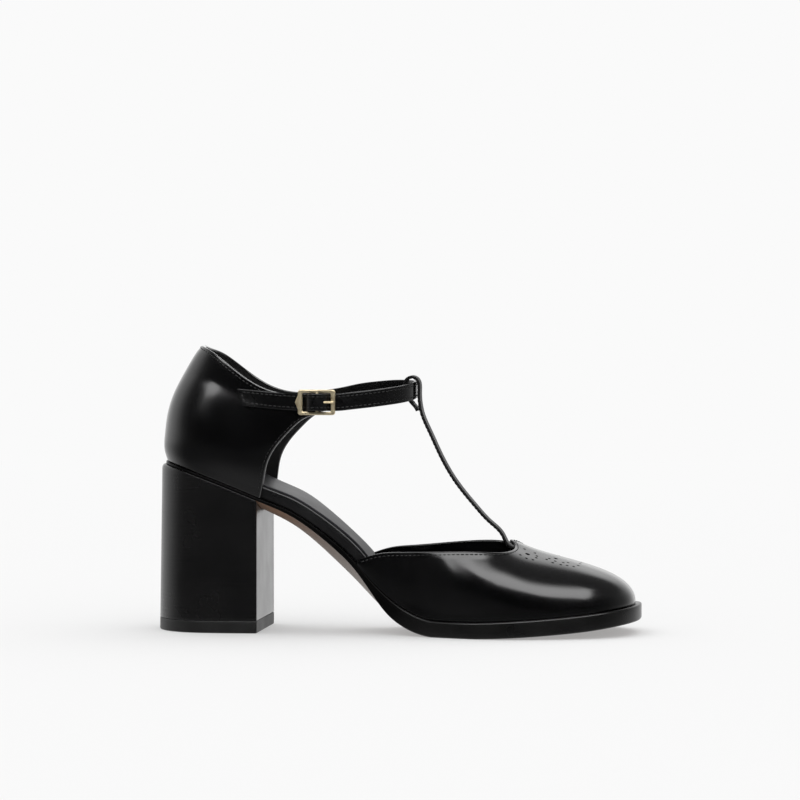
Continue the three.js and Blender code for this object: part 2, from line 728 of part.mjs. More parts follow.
// Ankle strap: levels are shares of the wing's height, climbs run from there to the instep.
// It has the tail on the outer quarter, the hump through the buckle, the free stretch
// round the ankle and the end sewn to the inner wing
const tailRows = [
  { along: 0.1745, level: 1.0183 },
  { along: 0.200, level: 1.0152 },
  { along: 0.226, level: 1.0105 },
  { along: 0.248, level: 1.0063 },
  { along: 0.270, level: 1.0031 },
  { along: 0.290, level: 1.0010 },
];
const humpRows = [
  { forward: -0.86, hump: 0.00 },
  { forward: -0.64, hump: 0.00 },
  { forward: -0.50, hump: 0.14 },
  { forward: -0.30, hump: 0.70 },
  { forward: -0.08, hump: 0.99 },
  { forward: 0.08, hump: 1.02 },
  { forward: 0.24, hump: 0.98 },
  { forward: 0.46, hump: 0.64 },
  { forward: 0.64, hump: 0.18 },
  { forward: 0.78, hump: 0.00 },
  { forward: 1.00, hump: 0.00 },
];
const ankleRows = [
  { along: 0.412, across: -0.912, climb: 0.144 },
  { along: 0.446, across: -0.835, climb: 0.311 },
  { along: 0.478, across: -0.695, climb: 0.489 },
  { along: 0.509, across: -0.478, climb: 0.689 },
  { along: 0.5275, across: -0.240, climb: 0.889 },
  { along: 0.531, across: 0.000, climb: 1.000 },
  { along: 0.5285, across: 0.240, climb: 1.044 },
  { along: 0.511, across: 0.478, climb: 1.056 },
  { along: 0.480, across: 0.660, climb: 1.022 },
  { along: 0.445, across: 0.800, climb: 0.878 },
  { along: 0.405, across: 0.890, climb: 0.644 },
  { along: 0.370, across: 0.945, climb: 0.311 },
];
const innerEndRows = [
  { along: 0.338, level: 1.0021 },
  { along: 0.315, level: 0.9958 },
  { along: 0.292, level: 0.9906 },
  { along: 0.270, level: 0.9864 },
];
function strapOnQuarter(row, side) {
  const seat = quarterAt(row.along * soleLength, row.level * wingHeight, side);
  const up = upwards.clone().addScaledVector(seat.normal, -seat.normal.z).normalize();
  return { centre: seat.point.addScaledVector(seat.normal, strapSeat + strapThickness / 2), up };
}
const strapNodes = [
  ...tailRows.map((row) => strapOnQuarter(row, -1)),
  ...humpRows.map((row) => {
    const level = strapSeat + strapThickness / 2 + strapHump * row.hump;
    return { centre: onWing(row.forward * buckleReach, 0, level), up: wingUpward };
  }),
  ...ankleRows.map((row) => {
    const across = row.across * seatWidth / 2;
    const height = mix(wingHeight, instepHeight, row.climb);
    const centre = new THREE.Vector3(row.along * soleLength, across, height);
    return { centre, up: upwards };
  }),
  ...innerEndRows.map((row) => strapOnQuarter(row, 1)),
];
const strapRoute = smoothRoute(strapNodes.map((node) => node.centre));
const strapLengths = runningLengths(strapNodes.map((node) => node.centre));
const strapLength = strapLengths[strapLengths.length - 1];
const strapUpAxes = ['x', 'y', 'z'].map((axis) => {
  return spline(strapLengths.map((length) => length / strapLength), strapNodes.map((node) => node.up[axis]));
});

// Point of a strap: share along, upward and outward distances from its middle line
function onStrap(share, upward, outward) {
  const forward = heading(strapRoute, share);
  const up = new THREE.Vector3(...strapUpAxes.map((axis) => axis(share)));
  up.addScaledVector(forward, -up.dot(forward)).normalize();
  const out = forward.clone().cross(up);
  return strapRoute(share).addScaledVector(up, upward).addScaledVector(out, outward);
}

// Buckle frame with its centre bar, slightly bowed
function steppedLine(path, fromX, fromY, toX, toY, steps) {
  for (let i = 1; i <= steps; i++) {
    path.lineTo(mix(fromX, toX, i / steps), mix(fromY, toY, i / steps));
  }
}
function cornerArc(path, x, y, radius, from) {
  path.absarc(x, y, radius, from, from + Math.PI / 2, false);
}
function buckleWindow(left, right, height, radius) {
  const window = new THREE.Path();
  const top = height / 2;
  window.moveTo(left + radius, -top);
  steppedLine(window, left + radius, -top, right - radius, -top, 4);
  cornerArc(window, right - radius, radius - top, radius, -Math.PI / 2);
  cornerArc(window, right - radius, top - radius, radius, 0);
  steppedLine(window, right - radius, top, left + radius, top, 4);
  cornerArc(window, left + radius, top - radius, radius, Math.PI / 2);
  cornerArc(window, left + radius, radius - top, radius, Math.PI);
  return window;
}
function buckleFrame() {
  const right = buckleReach;
  const left = buckleTip - buckleReach;
  const top = buckleHeight / 2;
  const radius = buckleCorner;
  const outline = new THREE.Shape();
  outline.moveTo(left + radius, -top);
  steppedLine(outline, left + radius, -top, right - radius, -top, 5);
  cornerArc(outline, right - radius, radius - top, radius, -Math.PI / 2);
  cornerArc(outline, right - radius, top - radius, radius, 0);
  steppedLine(outline, right - radius, top, left + radius, top, 5);
  cornerArc(outline, left + radius, top - radius, radius, Math.PI / 2);
  outline.lineTo(left, top * 0.48);
  outline.lineTo(-buckleReach, 0);
  outline.lineTo(left, -top * 0.48);
  cornerArc(outline, left + radius, radius - top, radius, Math.PI);
  const windowLeft = left + buckleRearBar;
  const windowRight = right - buckleFrontBar;
  outline.holes.push(buckleWindow(windowLeft, windowRight, buckleHeight - 2 * buckleRail, buckleCorner / 2));
  const plate = new THREE.ExtrudeGeometry(outline, {
    depth: buckleThickness - 2 * buckleEdge,
    bevelEnabled: true,
    bevelThickness: buckleEdge,
    bevelSize: buckleEdge,
    bevelOffset: -buckleEdge,
    bevelSegments: 1,
    curveSegments: 2,
  });
  plate.translate(0, 0, buckleEdge - buckleThickness / 2);
  const place = plate.attributes.position;
  for (let i = 0; i < place.count; i++) {
    const forward = place.getX(i);
    const rise = (frameLevel - barLevel) * Math.min(1, Math.abs(forward - barForward) / buckleBow) ** 2;
    const point = onWing(forward, place.getY(i), barLevel + rise + place.getZ(i));
    place.setXYZ(i, point.x, point.y, point.z);
  }
  const barLength = buckleHeight - buckleRail;
  const bar = new THREE.CylinderGeometry(barDiameter / 2, barDiameter / 2, barLength, 10);
  const turn = new THREE.Matrix4().makeBasis(wingForward, wingUpward, wingOutward);
  bar.applyMatrix4(turn.setPosition(onWing(barForward, 0, barLevel)));
  return fromManifold(toManifold(plate).add(toManifold(bar)));
}

// Prong: an eye on the centre bar and a pin that rests on the front bar
function prong(diameter, extra) {
  const radius = barDiameter / 2 + tabGap + prongDiameter / 2;
  const points = [];
  for (const degrees of [185, 160, 135, 110]) {
    const angle = THREE.MathUtils.degToRad(degrees);
    const forward = barForward + radius * Math.cos(angle);
    points.push(onWing(forward, 0, barLevel + radius * Math.sin(angle)));
  }
  const rest = frameLevel + buckleThickness / 2 + tabGap + prongDiameter / 2;
  points.push(onWing(barForward + 2, 0, mix(barLevel + radius, rest, 0.3)));
  points.push(onWing(barForward + 5, 0, mix(barLevel + radius, rest, 0.75)));
  points.push(onWing(buckleReach - buckleFrontBar, 0, rest));
  points.push(onWing(buckleReach + extra, 0, rest));
  const circle = new THREE.Shape();
  circle.absarc(0, 0, diameter / 2, 0, 2 * Math.PI, false);
  const extrudePath = new THREE.CatmullRomCurve3(points, false, 'centripetal');
  const pin = { steps: 16, curveSegments: 4, bevelEnabled: false, extrudePath };
  return new THREE.ExtrudeGeometry(circle, pin);
}

// Leather tab folded round the centre bar
function buckleTab() {
  const radius = barDiameter / 2 + tabGap + tabThickness / 2;
  const low = gap + tabGap / 2 + tabThickness / 2;
  const points = [];
  for (const forward of [-3.9, -2.6, -1.3]) {
    points.push(onWing(barForward + forward, 0, low));
  }
  for (const degrees of [-90, -45, 0, 45, 90]) {
    const angle = THREE.MathUtils.degToRad(degrees);
    const forward = barForward + radius * Math.cos(angle);
    points.push(onWing(forward, 0, barLevel + radius * Math.sin(angle)));
  }
  points.push(onWing(barForward - 1.1, 0, barLevel + radius * 0.86));
  points.push(onWing(barForward - 2.2, 0, barLevel + radius * 0.46));
  const route = smoothRoute(points);
  const body = cellSolid([26, 1, 1], (u, v, w) => {
    const forward = heading(route, u);
    const out = wingUpward.clone().cross(forward).negate();
    const point = route(u).addScaledVector(wingUpward, (v - 0.5) * tabWidth);
    return point.addScaledVector(out, (w - 0.5) * tabThickness).toArray();
  });
  return fromManifold(toManifold(body).subtract(toManifold(prong(prongDiameter + 2 * gap, 1))));
}

// Round cutter through the strap
function strapHole(share) {
  const cutter = new THREE.CylinderGeometry(holeDiameter / 2, holeDiameter / 2, 4 * strapThickness, 10);
  const middle = onStrap(share, 0, 0);
  const out = onStrap(share, 0, 1).sub(middle);
  const turn = new THREE.Quaternion().setFromUnitVectors(new THREE.Vector3(0, 1, 0), out.normalize());
  cutter.applyQuaternion(turn);
  return cutter.translate(middle.x, middle.y, middle.z);
}
const hugEnds = 0.320 * soleLength;
const hugBlend = 0.020 * soleLength;
function ankleStrap() {
  const body = cellSolid([64, 2, 1], (u, v, w) => {
    const share = mix(tailSlant * (1 - v) / strapLength, 1, u);
    const point = onStrap(share, (v - 0.5) * strapWidth, (w - 0.5) * strapThickness);
    const side = share < 0.5 ? -1 : 1;
    const hug = clampShare((hugEnds - point.x) / hugBlend);
    if (hug > 0) {
      const middle = onStrap(share, (v - 0.5) * strapWidth, 0);
      const seat = quarterAt(middle.x, middle.z, side);
      const hugging = seat.point.addScaledVector(seat.normal, strapSeat + w * strapThickness);
      point.lerp(hugging, hug * hug * (3 - 2 * hug));
    }
    return point.toArray();
  });
  let solid = toManifold(body).subtract(toManifold(prong(prongDiameter + 2 * gap, 1)));
  const barShare = strapLengths[tailRows.length + 5] / strapLength;
  for (const step of [0, 2, 3]) {
    solid = solid.subtract(toManifold(strapHole(barShare + (step - 0.15) * holeSpacing / strapLength)));
  }
  return fromManifold(solid);
}

// T strap: rises from under the throat, loops over the ankle strap and is sewn to its own back
const instepRows = [
  { forward: 0.915, rise: 0.030 },
  { forward: 0.780, rise: 0.118 },
  { forward: 0.645, rise: 0.212 },
  { forward: 0.430, rise: 0.385 },
  { forward: 0.265, rise: 0.570 },
  { forward: 0.155, rise: 0.725 },
  { forward: 0.078, rise: 0.843 },
];
const loopRows = [
  { forward: 0.33, rise: -0.85 },
  { forward: 0.28, rise: -0.25 },
  { forward: 0.28, rise: 0.22 },
  { forward: 0.18, rise: 0.60 },
  { forward: -0.16, rise: 0.78 },
  { forward: -0.48, rise: 0.62 },
  { forward: -0.57, rise: 0.28 },
  { forward: -0.46, rise: -0.15 },
  { forward: -0.33, rise: -0.52 },
  { forward: -0.12, rise: -0.80 },
  { forward: 0.07, rise: -1.02 },
  { forward: 0.18, rise: -1.22 },
];
function tStrap() {
  const throat = vampOuter(0, 1);
  const apex = strapRoute(strapLengths[tailRows.length + humpRows.length + 5] / strapLength);
  const points = [];
  for (const up of [0.86, 0.93, 0.995]) {
    const under = vampNormal(0, up).multiplyScalar(-upperWall - seatGap - throatArch - tStrapThickness / 2);
    points.push(vampOuter(0, up).add(under));
  }
  for (const row of instepRows) {
    points.push(new THREE.Vector3(mix(apex.x, throat.x, row.forward), 0, mix(throat.z, apex.z, row.rise)));
  }
  for (const row of loopRows) {
    points.push(new THREE.Vector3(apex.x + row.forward * strapWidth, 0, apex.z + row.rise * strapWidth));
  }
  const route = smoothRoute(points);
  const sideways = new THREE.Vector3(0, 1, 0);
  return cellSolid([56, 1, 1], (u, v, w) => {
    const out = heading(route, u).cross(sideways);
    const point = route(u).addScaledVector(sideways, (v - 0.5) * tStrapWidth);
    return point.addScaledVector(out, (w - 0.5) * tStrapThickness).toArray();
  });
}

add('outsole', outsole(), soleLeather);
add('heel_block', heelBlock(), stackedLeather);
add('top_lift', topLift(), liftRubber);
add('insole_board', insoleBoard(), sockLeather);
add('sock_lining', sockLining(), sockLeather);
add('vamp', vamp(), blackLeather);
add('heel_quarter', heelQuarter(), blackLeather);
add('ankle_strap', ankleStrap(), blackStrap);
add('t_strap', tStrap(), blackStrap);
add('buckle_frame', buckleFrame(), paleGold);
add('buckle_prong', prong(prongDiameter, -0.4), paleGold);
add('buckle_tab', buckleTab(), blackStrap);

// Origin under the middle of the shoe, on the floor
const box = new THREE.Box3().setFromObject(shoe);
shoe.position.set(-(box.min.x + box.max.x) / 2, -(box.min.y + box.max.y) / 2, -box.min.z);

export default shoe;
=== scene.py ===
import math

import bmesh
import bpy
import numpy as np
from mathutils import Matrix, Vector


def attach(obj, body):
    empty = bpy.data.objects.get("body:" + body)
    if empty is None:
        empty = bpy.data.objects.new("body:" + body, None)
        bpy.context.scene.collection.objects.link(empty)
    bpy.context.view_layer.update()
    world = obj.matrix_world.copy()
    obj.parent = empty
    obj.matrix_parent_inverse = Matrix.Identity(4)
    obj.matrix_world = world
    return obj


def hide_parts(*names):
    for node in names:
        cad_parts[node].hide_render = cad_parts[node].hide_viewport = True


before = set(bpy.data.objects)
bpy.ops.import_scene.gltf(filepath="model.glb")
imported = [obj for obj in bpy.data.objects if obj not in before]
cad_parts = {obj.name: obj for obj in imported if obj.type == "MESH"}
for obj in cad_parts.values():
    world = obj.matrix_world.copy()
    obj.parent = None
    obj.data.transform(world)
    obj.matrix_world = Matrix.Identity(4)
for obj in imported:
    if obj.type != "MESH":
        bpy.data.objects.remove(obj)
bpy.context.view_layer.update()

scene = bpy.context.scene

# Camera: a long lens two metres away on the shoe's outer side, 8 degrees round
# towards the toe and just above the floor. Measures in this file are millimetres
# from the back of the heel's top and from the floor, until placed() is called.
MM = 0.001
shoe_middle = np.array([116.25, 0.47, 0.0])


def placed(points):
    """Millimetres along the shoe as metres in the part's own frame."""
    return (np.asarray(points, float) - shoe_middle) * MM


camera_turn = math.radians(8.0229)
camera_rise = math.radians(2.4676)
camera_distance = 2000.0
camera_aim = 111.7
right = Vector((math.cos(camera_turn), math.sin(camera_turn), 0.0))
back = Vector((math.sin(camera_turn) * math.cos(camera_rise),
               -math.cos(camera_turn) * math.cos(camera_rise), math.sin(camera_rise)))
up = back.cross(right)
eye = Vector((117.0, 0.0, 0.0)) - 0.485 * right + camera_aim * up + camera_distance * back
lens = bpy.data.cameras.new("camera")
lens.lens = 185.57
lens.sensor_width = 36.0
lens.clip_start = 0.1
lens.dof.use_dof = False
camera = bpy.data.objects.new("camera", lens)
camera.matrix_world = Matrix((right, up, back)).transposed().to_4x4()
camera.location = placed(eye)
scene.collection.objects.link(camera)
scene.camera = camera
scene.view_settings.view_transform = "Standard"

# Floor: a plain white table that fades into the white of the room far behind the
# shoe. The room is a soft studio: a broad light above the camera, white walls
# behind the shoe, a dark room in front of it.
room_white = 0.956
floor_white = 0.805
floor_half = 12.0
floor_glow = 0.3
fade_start = 0.5
fade_end = 1.4


def node(tree, kind, inputs=None, **settings):
    """One shader node, with its settings and its inputs, which are values or other nodes' outputs."""
    made = tree.nodes.new(kind)
    for name, value in settings.items():
        setattr(made, name, value)
    for key, value in (inputs or {}).items():
        if isinstance(value, bpy.types.NodeSocket):
            tree.links.new(value, made.inputs[key])
        else:
            made.inputs[key].default_value = value
    return made


def combine(tree, first, second, operation="ADD"):
    """Two values put together by one Math node."""
    return node(tree, "ShaderNodeMath", {0: first, 1: second}, operation=operation).outputs[0]


def times(tree, first, second):
    return combine(tree, first, second, "MULTIPLY")


def between(tree, share, start, end):
    """A value that goes from start to end as the share goes from 0 to 1."""
    return node(tree, "ShaderNodeMix", {0: share, 2: start, 3: end}, data_type="FLOAT").outputs[0]


def axes_of(tree, space="Object"):
    """X, Y and Z of the shaded place, or of a direction in the room."""
    return node(tree, "ShaderNodeSeparateXYZ", {0: node(tree, "ShaderNodeTexCoord").outputs[space]}).outputs


def eased(tree, value, low, high, start=0.0, end=1.0):
    """A value that goes smoothly from start to end as another goes from low to high."""
    made = node(tree, "ShaderNodeMapRange", {"Value": value, "From Min": low, "From Max": high,
                                             "To Min": start, "To Max": end})
    made.interpolation_type = "SMOOTHSTEP"
    return made.outputs["Result"]


def ramp(tree, value, stops):
    """A value read from stops of (place, level)."""
    made = node(tree, "ShaderNodeValToRGB", {"Fac": value})
    colours = made.color_ramp.elements
    for place, level in stops[2:]:
        colours.new(place)
    for element, (place, level) in zip(colours, stops):
        element.position = place
        element.color = (level, level, level, 1.0)
    return made.outputs["Color"]


def empty_tree(made):
    """The shader nodes of a new material or world, with none in it yet."""
    made.use_nodes = True
    made.node_tree.nodes.clear()
    return made.node_tree


white = bpy.data.materials.new("white_table")
tree = empty_tree(white)
where = node(tree, "ShaderNodeTexCoord").outputs["Object"]
reach = node(tree, "ShaderNodeVectorMath", {0: where}, operation="LENGTH").outputs["Value"]
paper = node(tree, "ShaderNodeBsdfDiffuse", {"Color": (*[floor_white] * 3, 1.0)}).outputs[0]
glow = node(tree, "ShaderNodeEmission", {"Color": (*[room_white] * 3, 1.0)}).outputs[0]
faded = eased(tree, reach, fade_start, fade_end, floor_glow)
surface = node(tree, "ShaderNodeMixShader", {0: faded, 1: paper, 2: glow}).outputs[0]
node(tree, "ShaderNodeOutputMaterial", {"Surface": surface})

bm = bmesh.new()
bmesh.ops.create_grid(bm, x_segments=24, y_segments=24, size=floor_half)
mesh = bpy.data.meshes.new("floor")
bm.to_mesh(mesh)
bm.free()
mesh.materials.append(white)
floor = bpy.data.objects.new("floor", mesh)
floor.visible_glossy = False
scene.collection.objects.link(floor)

softbox_light = 5.0
softbox_high = 60.0
softbox_left = -48.0
softbox_right = 78.0
ceiling_light = 0.2
top_light = 1.5
fill_light = 0.73
wall_blur = 7.0
degrees_each = math.degrees(1.0)
# Levels of walls and table, then the softbox's lower edge and the height of the walls
# in hundreds of degrees, by direction: 0 and 1 are behind the shoe, 0.25 on its
# heel's side, 0.5 at the camera
wall_stops = [
    (0.0, 0.55), (0.167, 0.55), (0.228, 0.52), (0.264, 0.34), (0.306, 0.12), (0.345, 0.05), (0.40, 0.02),
    (0.5, 0.006), (0.61, 0.012), (0.708, 0.05), (0.764, 0.11), (0.817, 0.15), (0.875, 0.28), (0.944, 0.50),
    (1.0, 0.55),
]
table_stops = [(0.0, 0.48), (0.2, 0.40), (0.32, 0.22), (0.5, 0.20), (0.75, 0.24), (1.0, 0.48)]
low_stops = [
    (0.0, 0.42), (0.30, 0.42), (0.384, 0.36), (0.394, 0.250), (0.422, 0.262), (0.438, 0.36), (0.485, 0.36),
    (0.51, 0.26), (0.597, 0.27), (0.63, 0.25), (0.645, 0.28), (0.70, 0.50), (1.0, 0.50),
]
height_stops = [
    (0.0, 0.46), (0.25, 0.42), (0.5, 0.40), (0.70, 0.30), (0.88, 0.30), (0.95, 0.44), (1.0, 0.46),
]
room = bpy.data.worlds.new("room")
tree = empty_tree(room)
scene.world = room
# The room's light depends on the kind of ray, so it isn't sampled as one picture
room.cycles.sampling_method = "NONE"
axes = axes_of(tree, "Generated")
rise = times(tree, combine(tree, axes["Z"], 0.0, "ARCSINE"), degrees_each)
turn = times(tree, combine(tree, axes["X"], times(tree, axes["Y"], -1.0), "ARCTAN2"), degrees_each)
side = combine(tree, turn, 0.0, "ABSOLUTE")
share = combine(tree, times(tree, turn, 1.0 / 360.0), 0.5)


def above_line(stops):
    """Degrees above a line that the stops give by direction."""
    return combine(tree, rise, times(tree, ramp(tree, share, stops), 100.0), "SUBTRACT")


behind = times(tree, eased(tree, side, 150.0, 168.0), eased(tree, rise, 20.0, 33.0, 0.0, 0.5))
walls = times(tree, times(tree, ramp(tree, share, wall_stops), 2.0), combine(tree, behind, 1.0))
high = between(tree, eased(tree, above_line(height_stops), -wall_blur, wall_blur), walls, ceiling_light)
light = times(tree, eased(tree, above_line(low_stops), -1.0, 4.0), softbox_light)
for value, low, high_end, start, end in (
        (rise, softbox_high - 10.0, softbox_high + 8.0, 1.0, 0.0),
        (turn, softbox_left - 10.0, softbox_left + 14.0, 0.0, 1.0),
        (turn, softbox_right - 8.0, softbox_right + 8.0, 1.0, 0.0)):
    light = times(tree, light, eased(tree, value, low, high_end, start, end))
near = between(tree, eased(tree, side, 60.0, 120.0), eased(tree, rise, -25.0, -9.0, 1.0, 0.2), 1.0)
table = times(tree, times(tree, ramp(tree, share, table_stops), 2.0), near)
level = between(tree, eased(tree, rise, -3.0, 0.5, 1.0, 0.0), combine(tree, high, light), table)
overhead = eased(tree, rise, 30.0, 65.0, 0.0, top_light)
overhead = times(tree, overhead, eased(tree, side, 60.0, 130.0, 0.35, 1.0))
rays = node(tree, "ShaderNodeLightPath").outputs
level = between(tree, rays["Is Diffuse Ray"], level, combine(tree, overhead, fill_light))
level = between(tree, rays["Is Camera Ray"], level, room_white)
sky = node(tree, "ShaderNodeBackground", {"Color": (1.0, 1.0, 1.0, 1.0), "Strength": level})
node(tree, "ShaderNodeOutputWorld", {"Surface": sky.outputs[0]})

# Outsole: one leather sole from the heel seat to the toe, cemented under the upper.
# Its edge is stained black and polished. The crowned underside of the waist is bare
# tan leather. Its colour is painted darker in the shade beside the heel, and painted
# lighter and beige towards the ball as painted light from the white table below.
sole_length = 233.3
seat_width = 52.4
waist_width = 37.5
ball_width = 80.8
toe_width = 61.0
toe_rounding = 26.0
toe_fullness = 2.6
seat_rounding = 24.0
seat_fullness = 2.1
seat_back = 2.0
seat_height = 81.0
sole_thickness = 8.0
toe_spring = 6.8
waist_crown = 8.0
tip_flat = 0.02
seat_gap = 0.4
sole_columns = 240
sole_cells = 28
sole_rounding = (0.8, 0.11)
waist_start = -0.068
join_distance = 2e-6
# Share along, the width that counts there, and its outer and inner halves as shares of it
plan_rows = [
    (0.00, seat_width, 0.487, 0.487), (0.10, seat_width, 0.500, 0.500), (0.20, seat_width, 0.492, 0.480),
    (0.26, waist_width, 0.640, 0.575), (0.32, waist_width, 0.595, 0.470), (0.38, waist_width, 0.575, 0.415),
    (0.44, waist_width, 0.605, 0.430), (0.50, ball_width, 0.322, 0.242), (0.56, ball_width, 0.384, 0.316),
    (0.62, ball_width, 0.446, 0.396), (0.68, ball_width, 0.487, 0.464), (0.74, ball_width, 0.495, 0.501),
    (0.80, ball_width, 0.470, 0.507), (0.86, ball_width, 0.421, 0.489), (0.92, toe_width, 0.475, 0.590),
    (1.00, toe_width, 0.375, 0.490),
]
# Share along, rise of the edge, toe spring, thickness and crown under the waist, each a share
profile_rows = [
    (0.000, 1.000, 0.00, 0.175, 0.00), (0.050, 0.969, 0.00, 0.175, 0.25), (0.110, 0.911, 0.00, 0.175, 0.48),
    (0.190, 0.820, 0.00, 0.175, 0.64), (0.235, 0.766, 0.00, 0.190, 0.70), (0.280, 0.707, 0.00, 0.265, 0.78),
    (0.325, 0.623, 0.00, 0.320, 0.90), (0.372, 0.513, 0.00, 0.400, 1.02), (0.420, 0.376, 0.00, 0.480, 0.98),
    (0.461, 0.216, 0.00, 0.790, 0.50), (0.486, 0.128, 0.00, 1.030, 0.12), (0.516, 0.062, 0.00, 1.080, 0.00),
    (0.545, 0.023, 0.00, 1.050, 0.00), (0.585, 0.0, -0.01, 0.975, 0.00), (0.650, 0.0, -0.03, 0.955, 0.00),
    (0.710, 0.000, 0.04, 0.975, 0.00), (0.770, 0.000, 0.14, 1.000, 0.00), (0.825, 0.000, 0.27, 1.000, 0.00),
    (0.900, 0.000, 0.50, 1.000, 0.00), (1.000, 0.000, 1.00, 0.950, 0.00),
]


def mix(start, end, share):
    return start + (end - start) * share


def smooth_step(share):
    share = np.clip(share, 0.0, 1.0)
    return share * share * (3.0 - 2.0 * share)


def smooth_curve(knots, values):
    """Natural cubic spline through values, or points, at the knots."""
    knots = np.array(knots, float)
    values = np.array(values, float)
    gaps = np.diff(knots)
    slopes = np.diff(values, axis=0) / gaps.reshape((-1,) + (1,) * (values.ndim - 1))
    system = np.eye(len(knots))
    jumps = np.zeros_like(values)
    for i in range(1, len(knots) - 1):
        system[i, i - 1:i + 2] = gaps[i - 1], 2.0 * (gaps[i - 1] + gaps[i]), gaps[i]
        jumps[i] = 6.0 * (slopes[i] - slopes[i - 1])
    bends = np.linalg.solve(system, jumps)

    def at(where):
        where = np.asarray(where, float)
        i = np.clip(np.searchsorted(knots, where, side="right") - 1, 0, len(gaps) - 1)
        span = gaps[i]
        a = (knots[i + 1] - where) / span
        b = (where - knots[i]) / span
        if values.ndim == 2:
            a, b, span = a[..., None], b[..., None], span[..., None]
        curve = (a ** 3 - a) * bends[i] + (b ** 3 - b) * bends[i + 1]
        return a * values[i] + b * values[i + 1] + curve * span ** 2 / 6.0

    return at


def column(rows, name):
    """One column of a table as a smooth function of its first column."""
    return smooth_curve([row[0] for row in rows], [row[name] for row in rows])


def running_lengths(points):
    steps = np.linalg.norm(np.diff(points, axis=0), axis=1)
    return np.concatenate([[0.0], np.cumsum(steps)])


def walk(points):
    """A polyline as a function of the share of its length that is walked."""
    lengths = running_lengths(points)

    def at(share):
        target = np.clip(share, 0.0, 1.0) * lengths[-1]
        return np.stack([np.interp(target, lengths, points[:, k]) for k in range(3)], axis=-1)

    return at


half_width = {side: smooth_curve([row[0] for row in plan_rows], [row[1] * row[part] for row in plan_rows])
              for side, part in ((-1, 2), (1, 3))}
rise_share, spring_share, thick_share, crown_share = (column(profile_rows, name) for name in (1, 2, 3, 4))


def rounded_end(distance, length, fullness):
    share = 1.0 - np.clip(distance / length, 0.0, 1.0)
    return (1.0 - share ** fullness) ** (1.0 / fullness)


def edge_y(x, side, inset):
    """Y of the sole's edge at x, moved inwards by inset: side -1 is the outer edge, 1 the inner."""
    lateral = inset - half_width[-1](x / sole_length)
    medial = half_width[1](x / sole_length) - inset
    toe = rounded_end(sole_length - inset - x, toe_rounding, toe_fullness)
    seat = rounded_end(x - seat_back - inset, seat_rounding, seat_fullness)
    return (lateral + medial) / 2.0 + side * (medial - lateral) / 2.0 * toe * seat


def sole_bottom(x):
    along = x / sole_length
    return np.maximum(0.0, rise_share(along) * seat_height + spring_share(along) * toe_spring)


def sole_top(x):
    return sole_bottom(x) + thick_share(x / sole_length) * sole_thickness


turns = np.linspace(0.0, math.pi, 3001)
stations = mix(seat_back + tip_flat, sole_length - tip_flat, (1.0 - np.cos(turns)) / 2.0)
edge_station = walk(np.stack([stations, edge_y(stations, -1, 0.0), sole_top(stations)], axis=-1))


def sole_x(u, back_inset, toe_inset):
    """X at a share of the way along the sole's edge, for an outline that lies further in."""
    share = (edge_station(u)[..., 0] - seat_back) / (sole_length - seat_back)
    return mix(seat_back + back_inset, sole_length - toe_inset, share)


def rounded_rows(edge, rounding, steps=4):
    """Rows from the middle of a wall's edge to its face: distance from the edge, and depth as a share."""
    angle = np.linspace(math.pi / 2.0, 0.0, steps + 1)
    return (np.concatenate([[0.0], edge * (1.0 - np.sin(angle))]),
            np.concatenate([[0.5], rounding * (1.0 - np.cos(angle))]))


def layer_rows(cells, edge, rounding):
    """Rows over one face of a layer and down both its edges: share across, inset and depth."""
    inset, depth = rounded_rows(edge, rounding)
    rim = len(inset)
    face = np.linspace(-1.0, 1.0, cells + 1)[1:-1]
    return (np.concatenate([-np.ones(rim), face, np.ones(rim)]),
            np.concatenate([inset, np.full(len(face), edge), inset[::-1]]),
            np.concatenate([depth, np.zeros(len(face)), depth[::-1]]))


def surface_grid(name, columns, rows, place, finish=0, rim=0, rim_columns=0, rim_finish=0):
    """A grid whose vertices go where place(column, row) says, with both shares in its UV map.
    The outer rim rows and columns of faces take rim_finish, the others finish."""
    bm = bmesh.new()
    bmesh.ops.create_grid(bm, x_segments=columns, y_segments=rows, size=0.5)
    mesh = bpy.data.meshes.new(name)
    bm.to_mesh(mesh)
    bm.free()
    spots = np.empty(3 * len(mesh.vertices), np.float32)
    mesh.vertices.foreach_get("co", spots)
    spots = spots.reshape(-1, 3)
    i = np.rint((spots[:, 0] + 0.5) * columns).astype(int)
    j = np.rint((spots[:, 1] + 0.5) * rows).astype(int)
    mesh.vertices.foreach_set("co", placed(place(i, j)).astype(np.float32).ravel())
    corners = np.empty(len(mesh.loops), np.int32)
    mesh.loops.foreach_get("vertex_index", corners)
    chart = np.stack([i / columns, j / rows], axis=-1)[corners]
    mesh.uv_layers.new(name="face").data.foreach_set("uv", chart.astype(np.float32).ravel())
    row = j[corners.reshape(-1, 4)].min(axis=1)
    across = i[corners.reshape(-1, 4)].min(axis=1)
    on_face = (row >= rim) & (row < rows - rim) & (across >= rim_columns) & (across < columns - rim_columns)
    mesh.polygons.foreach_set("material_index", np.where(on_face, finish, rim_finish).astype(np.int32))
    return mesh


def joined(name, parts):
    """Parts joined where they meet, closed, and with their faces outwards."""
    bm = bmesh.new()
    for part in parts:
        bm.from_mesh(part)
        bpy.data.meshes.remove(part)
    bmesh.ops.remove_doubles(bm, verts=bm.verts, dist=join_distance)
    open_edges = [edge for edge in bm.edges if edge.is_boundary]
    if open_edges:
        bmesh.ops.holes_fill(bm, edges=open_edges, sides=0)
    bmesh.ops.recalc_face_normals(bm, faces=bm.faces)
    for face in bm.faces:
        face.smooth = True
    mesh = bpy.data.meshes.new(name)
    bm.to_mesh(mesh)
    bm.free()
    return mesh


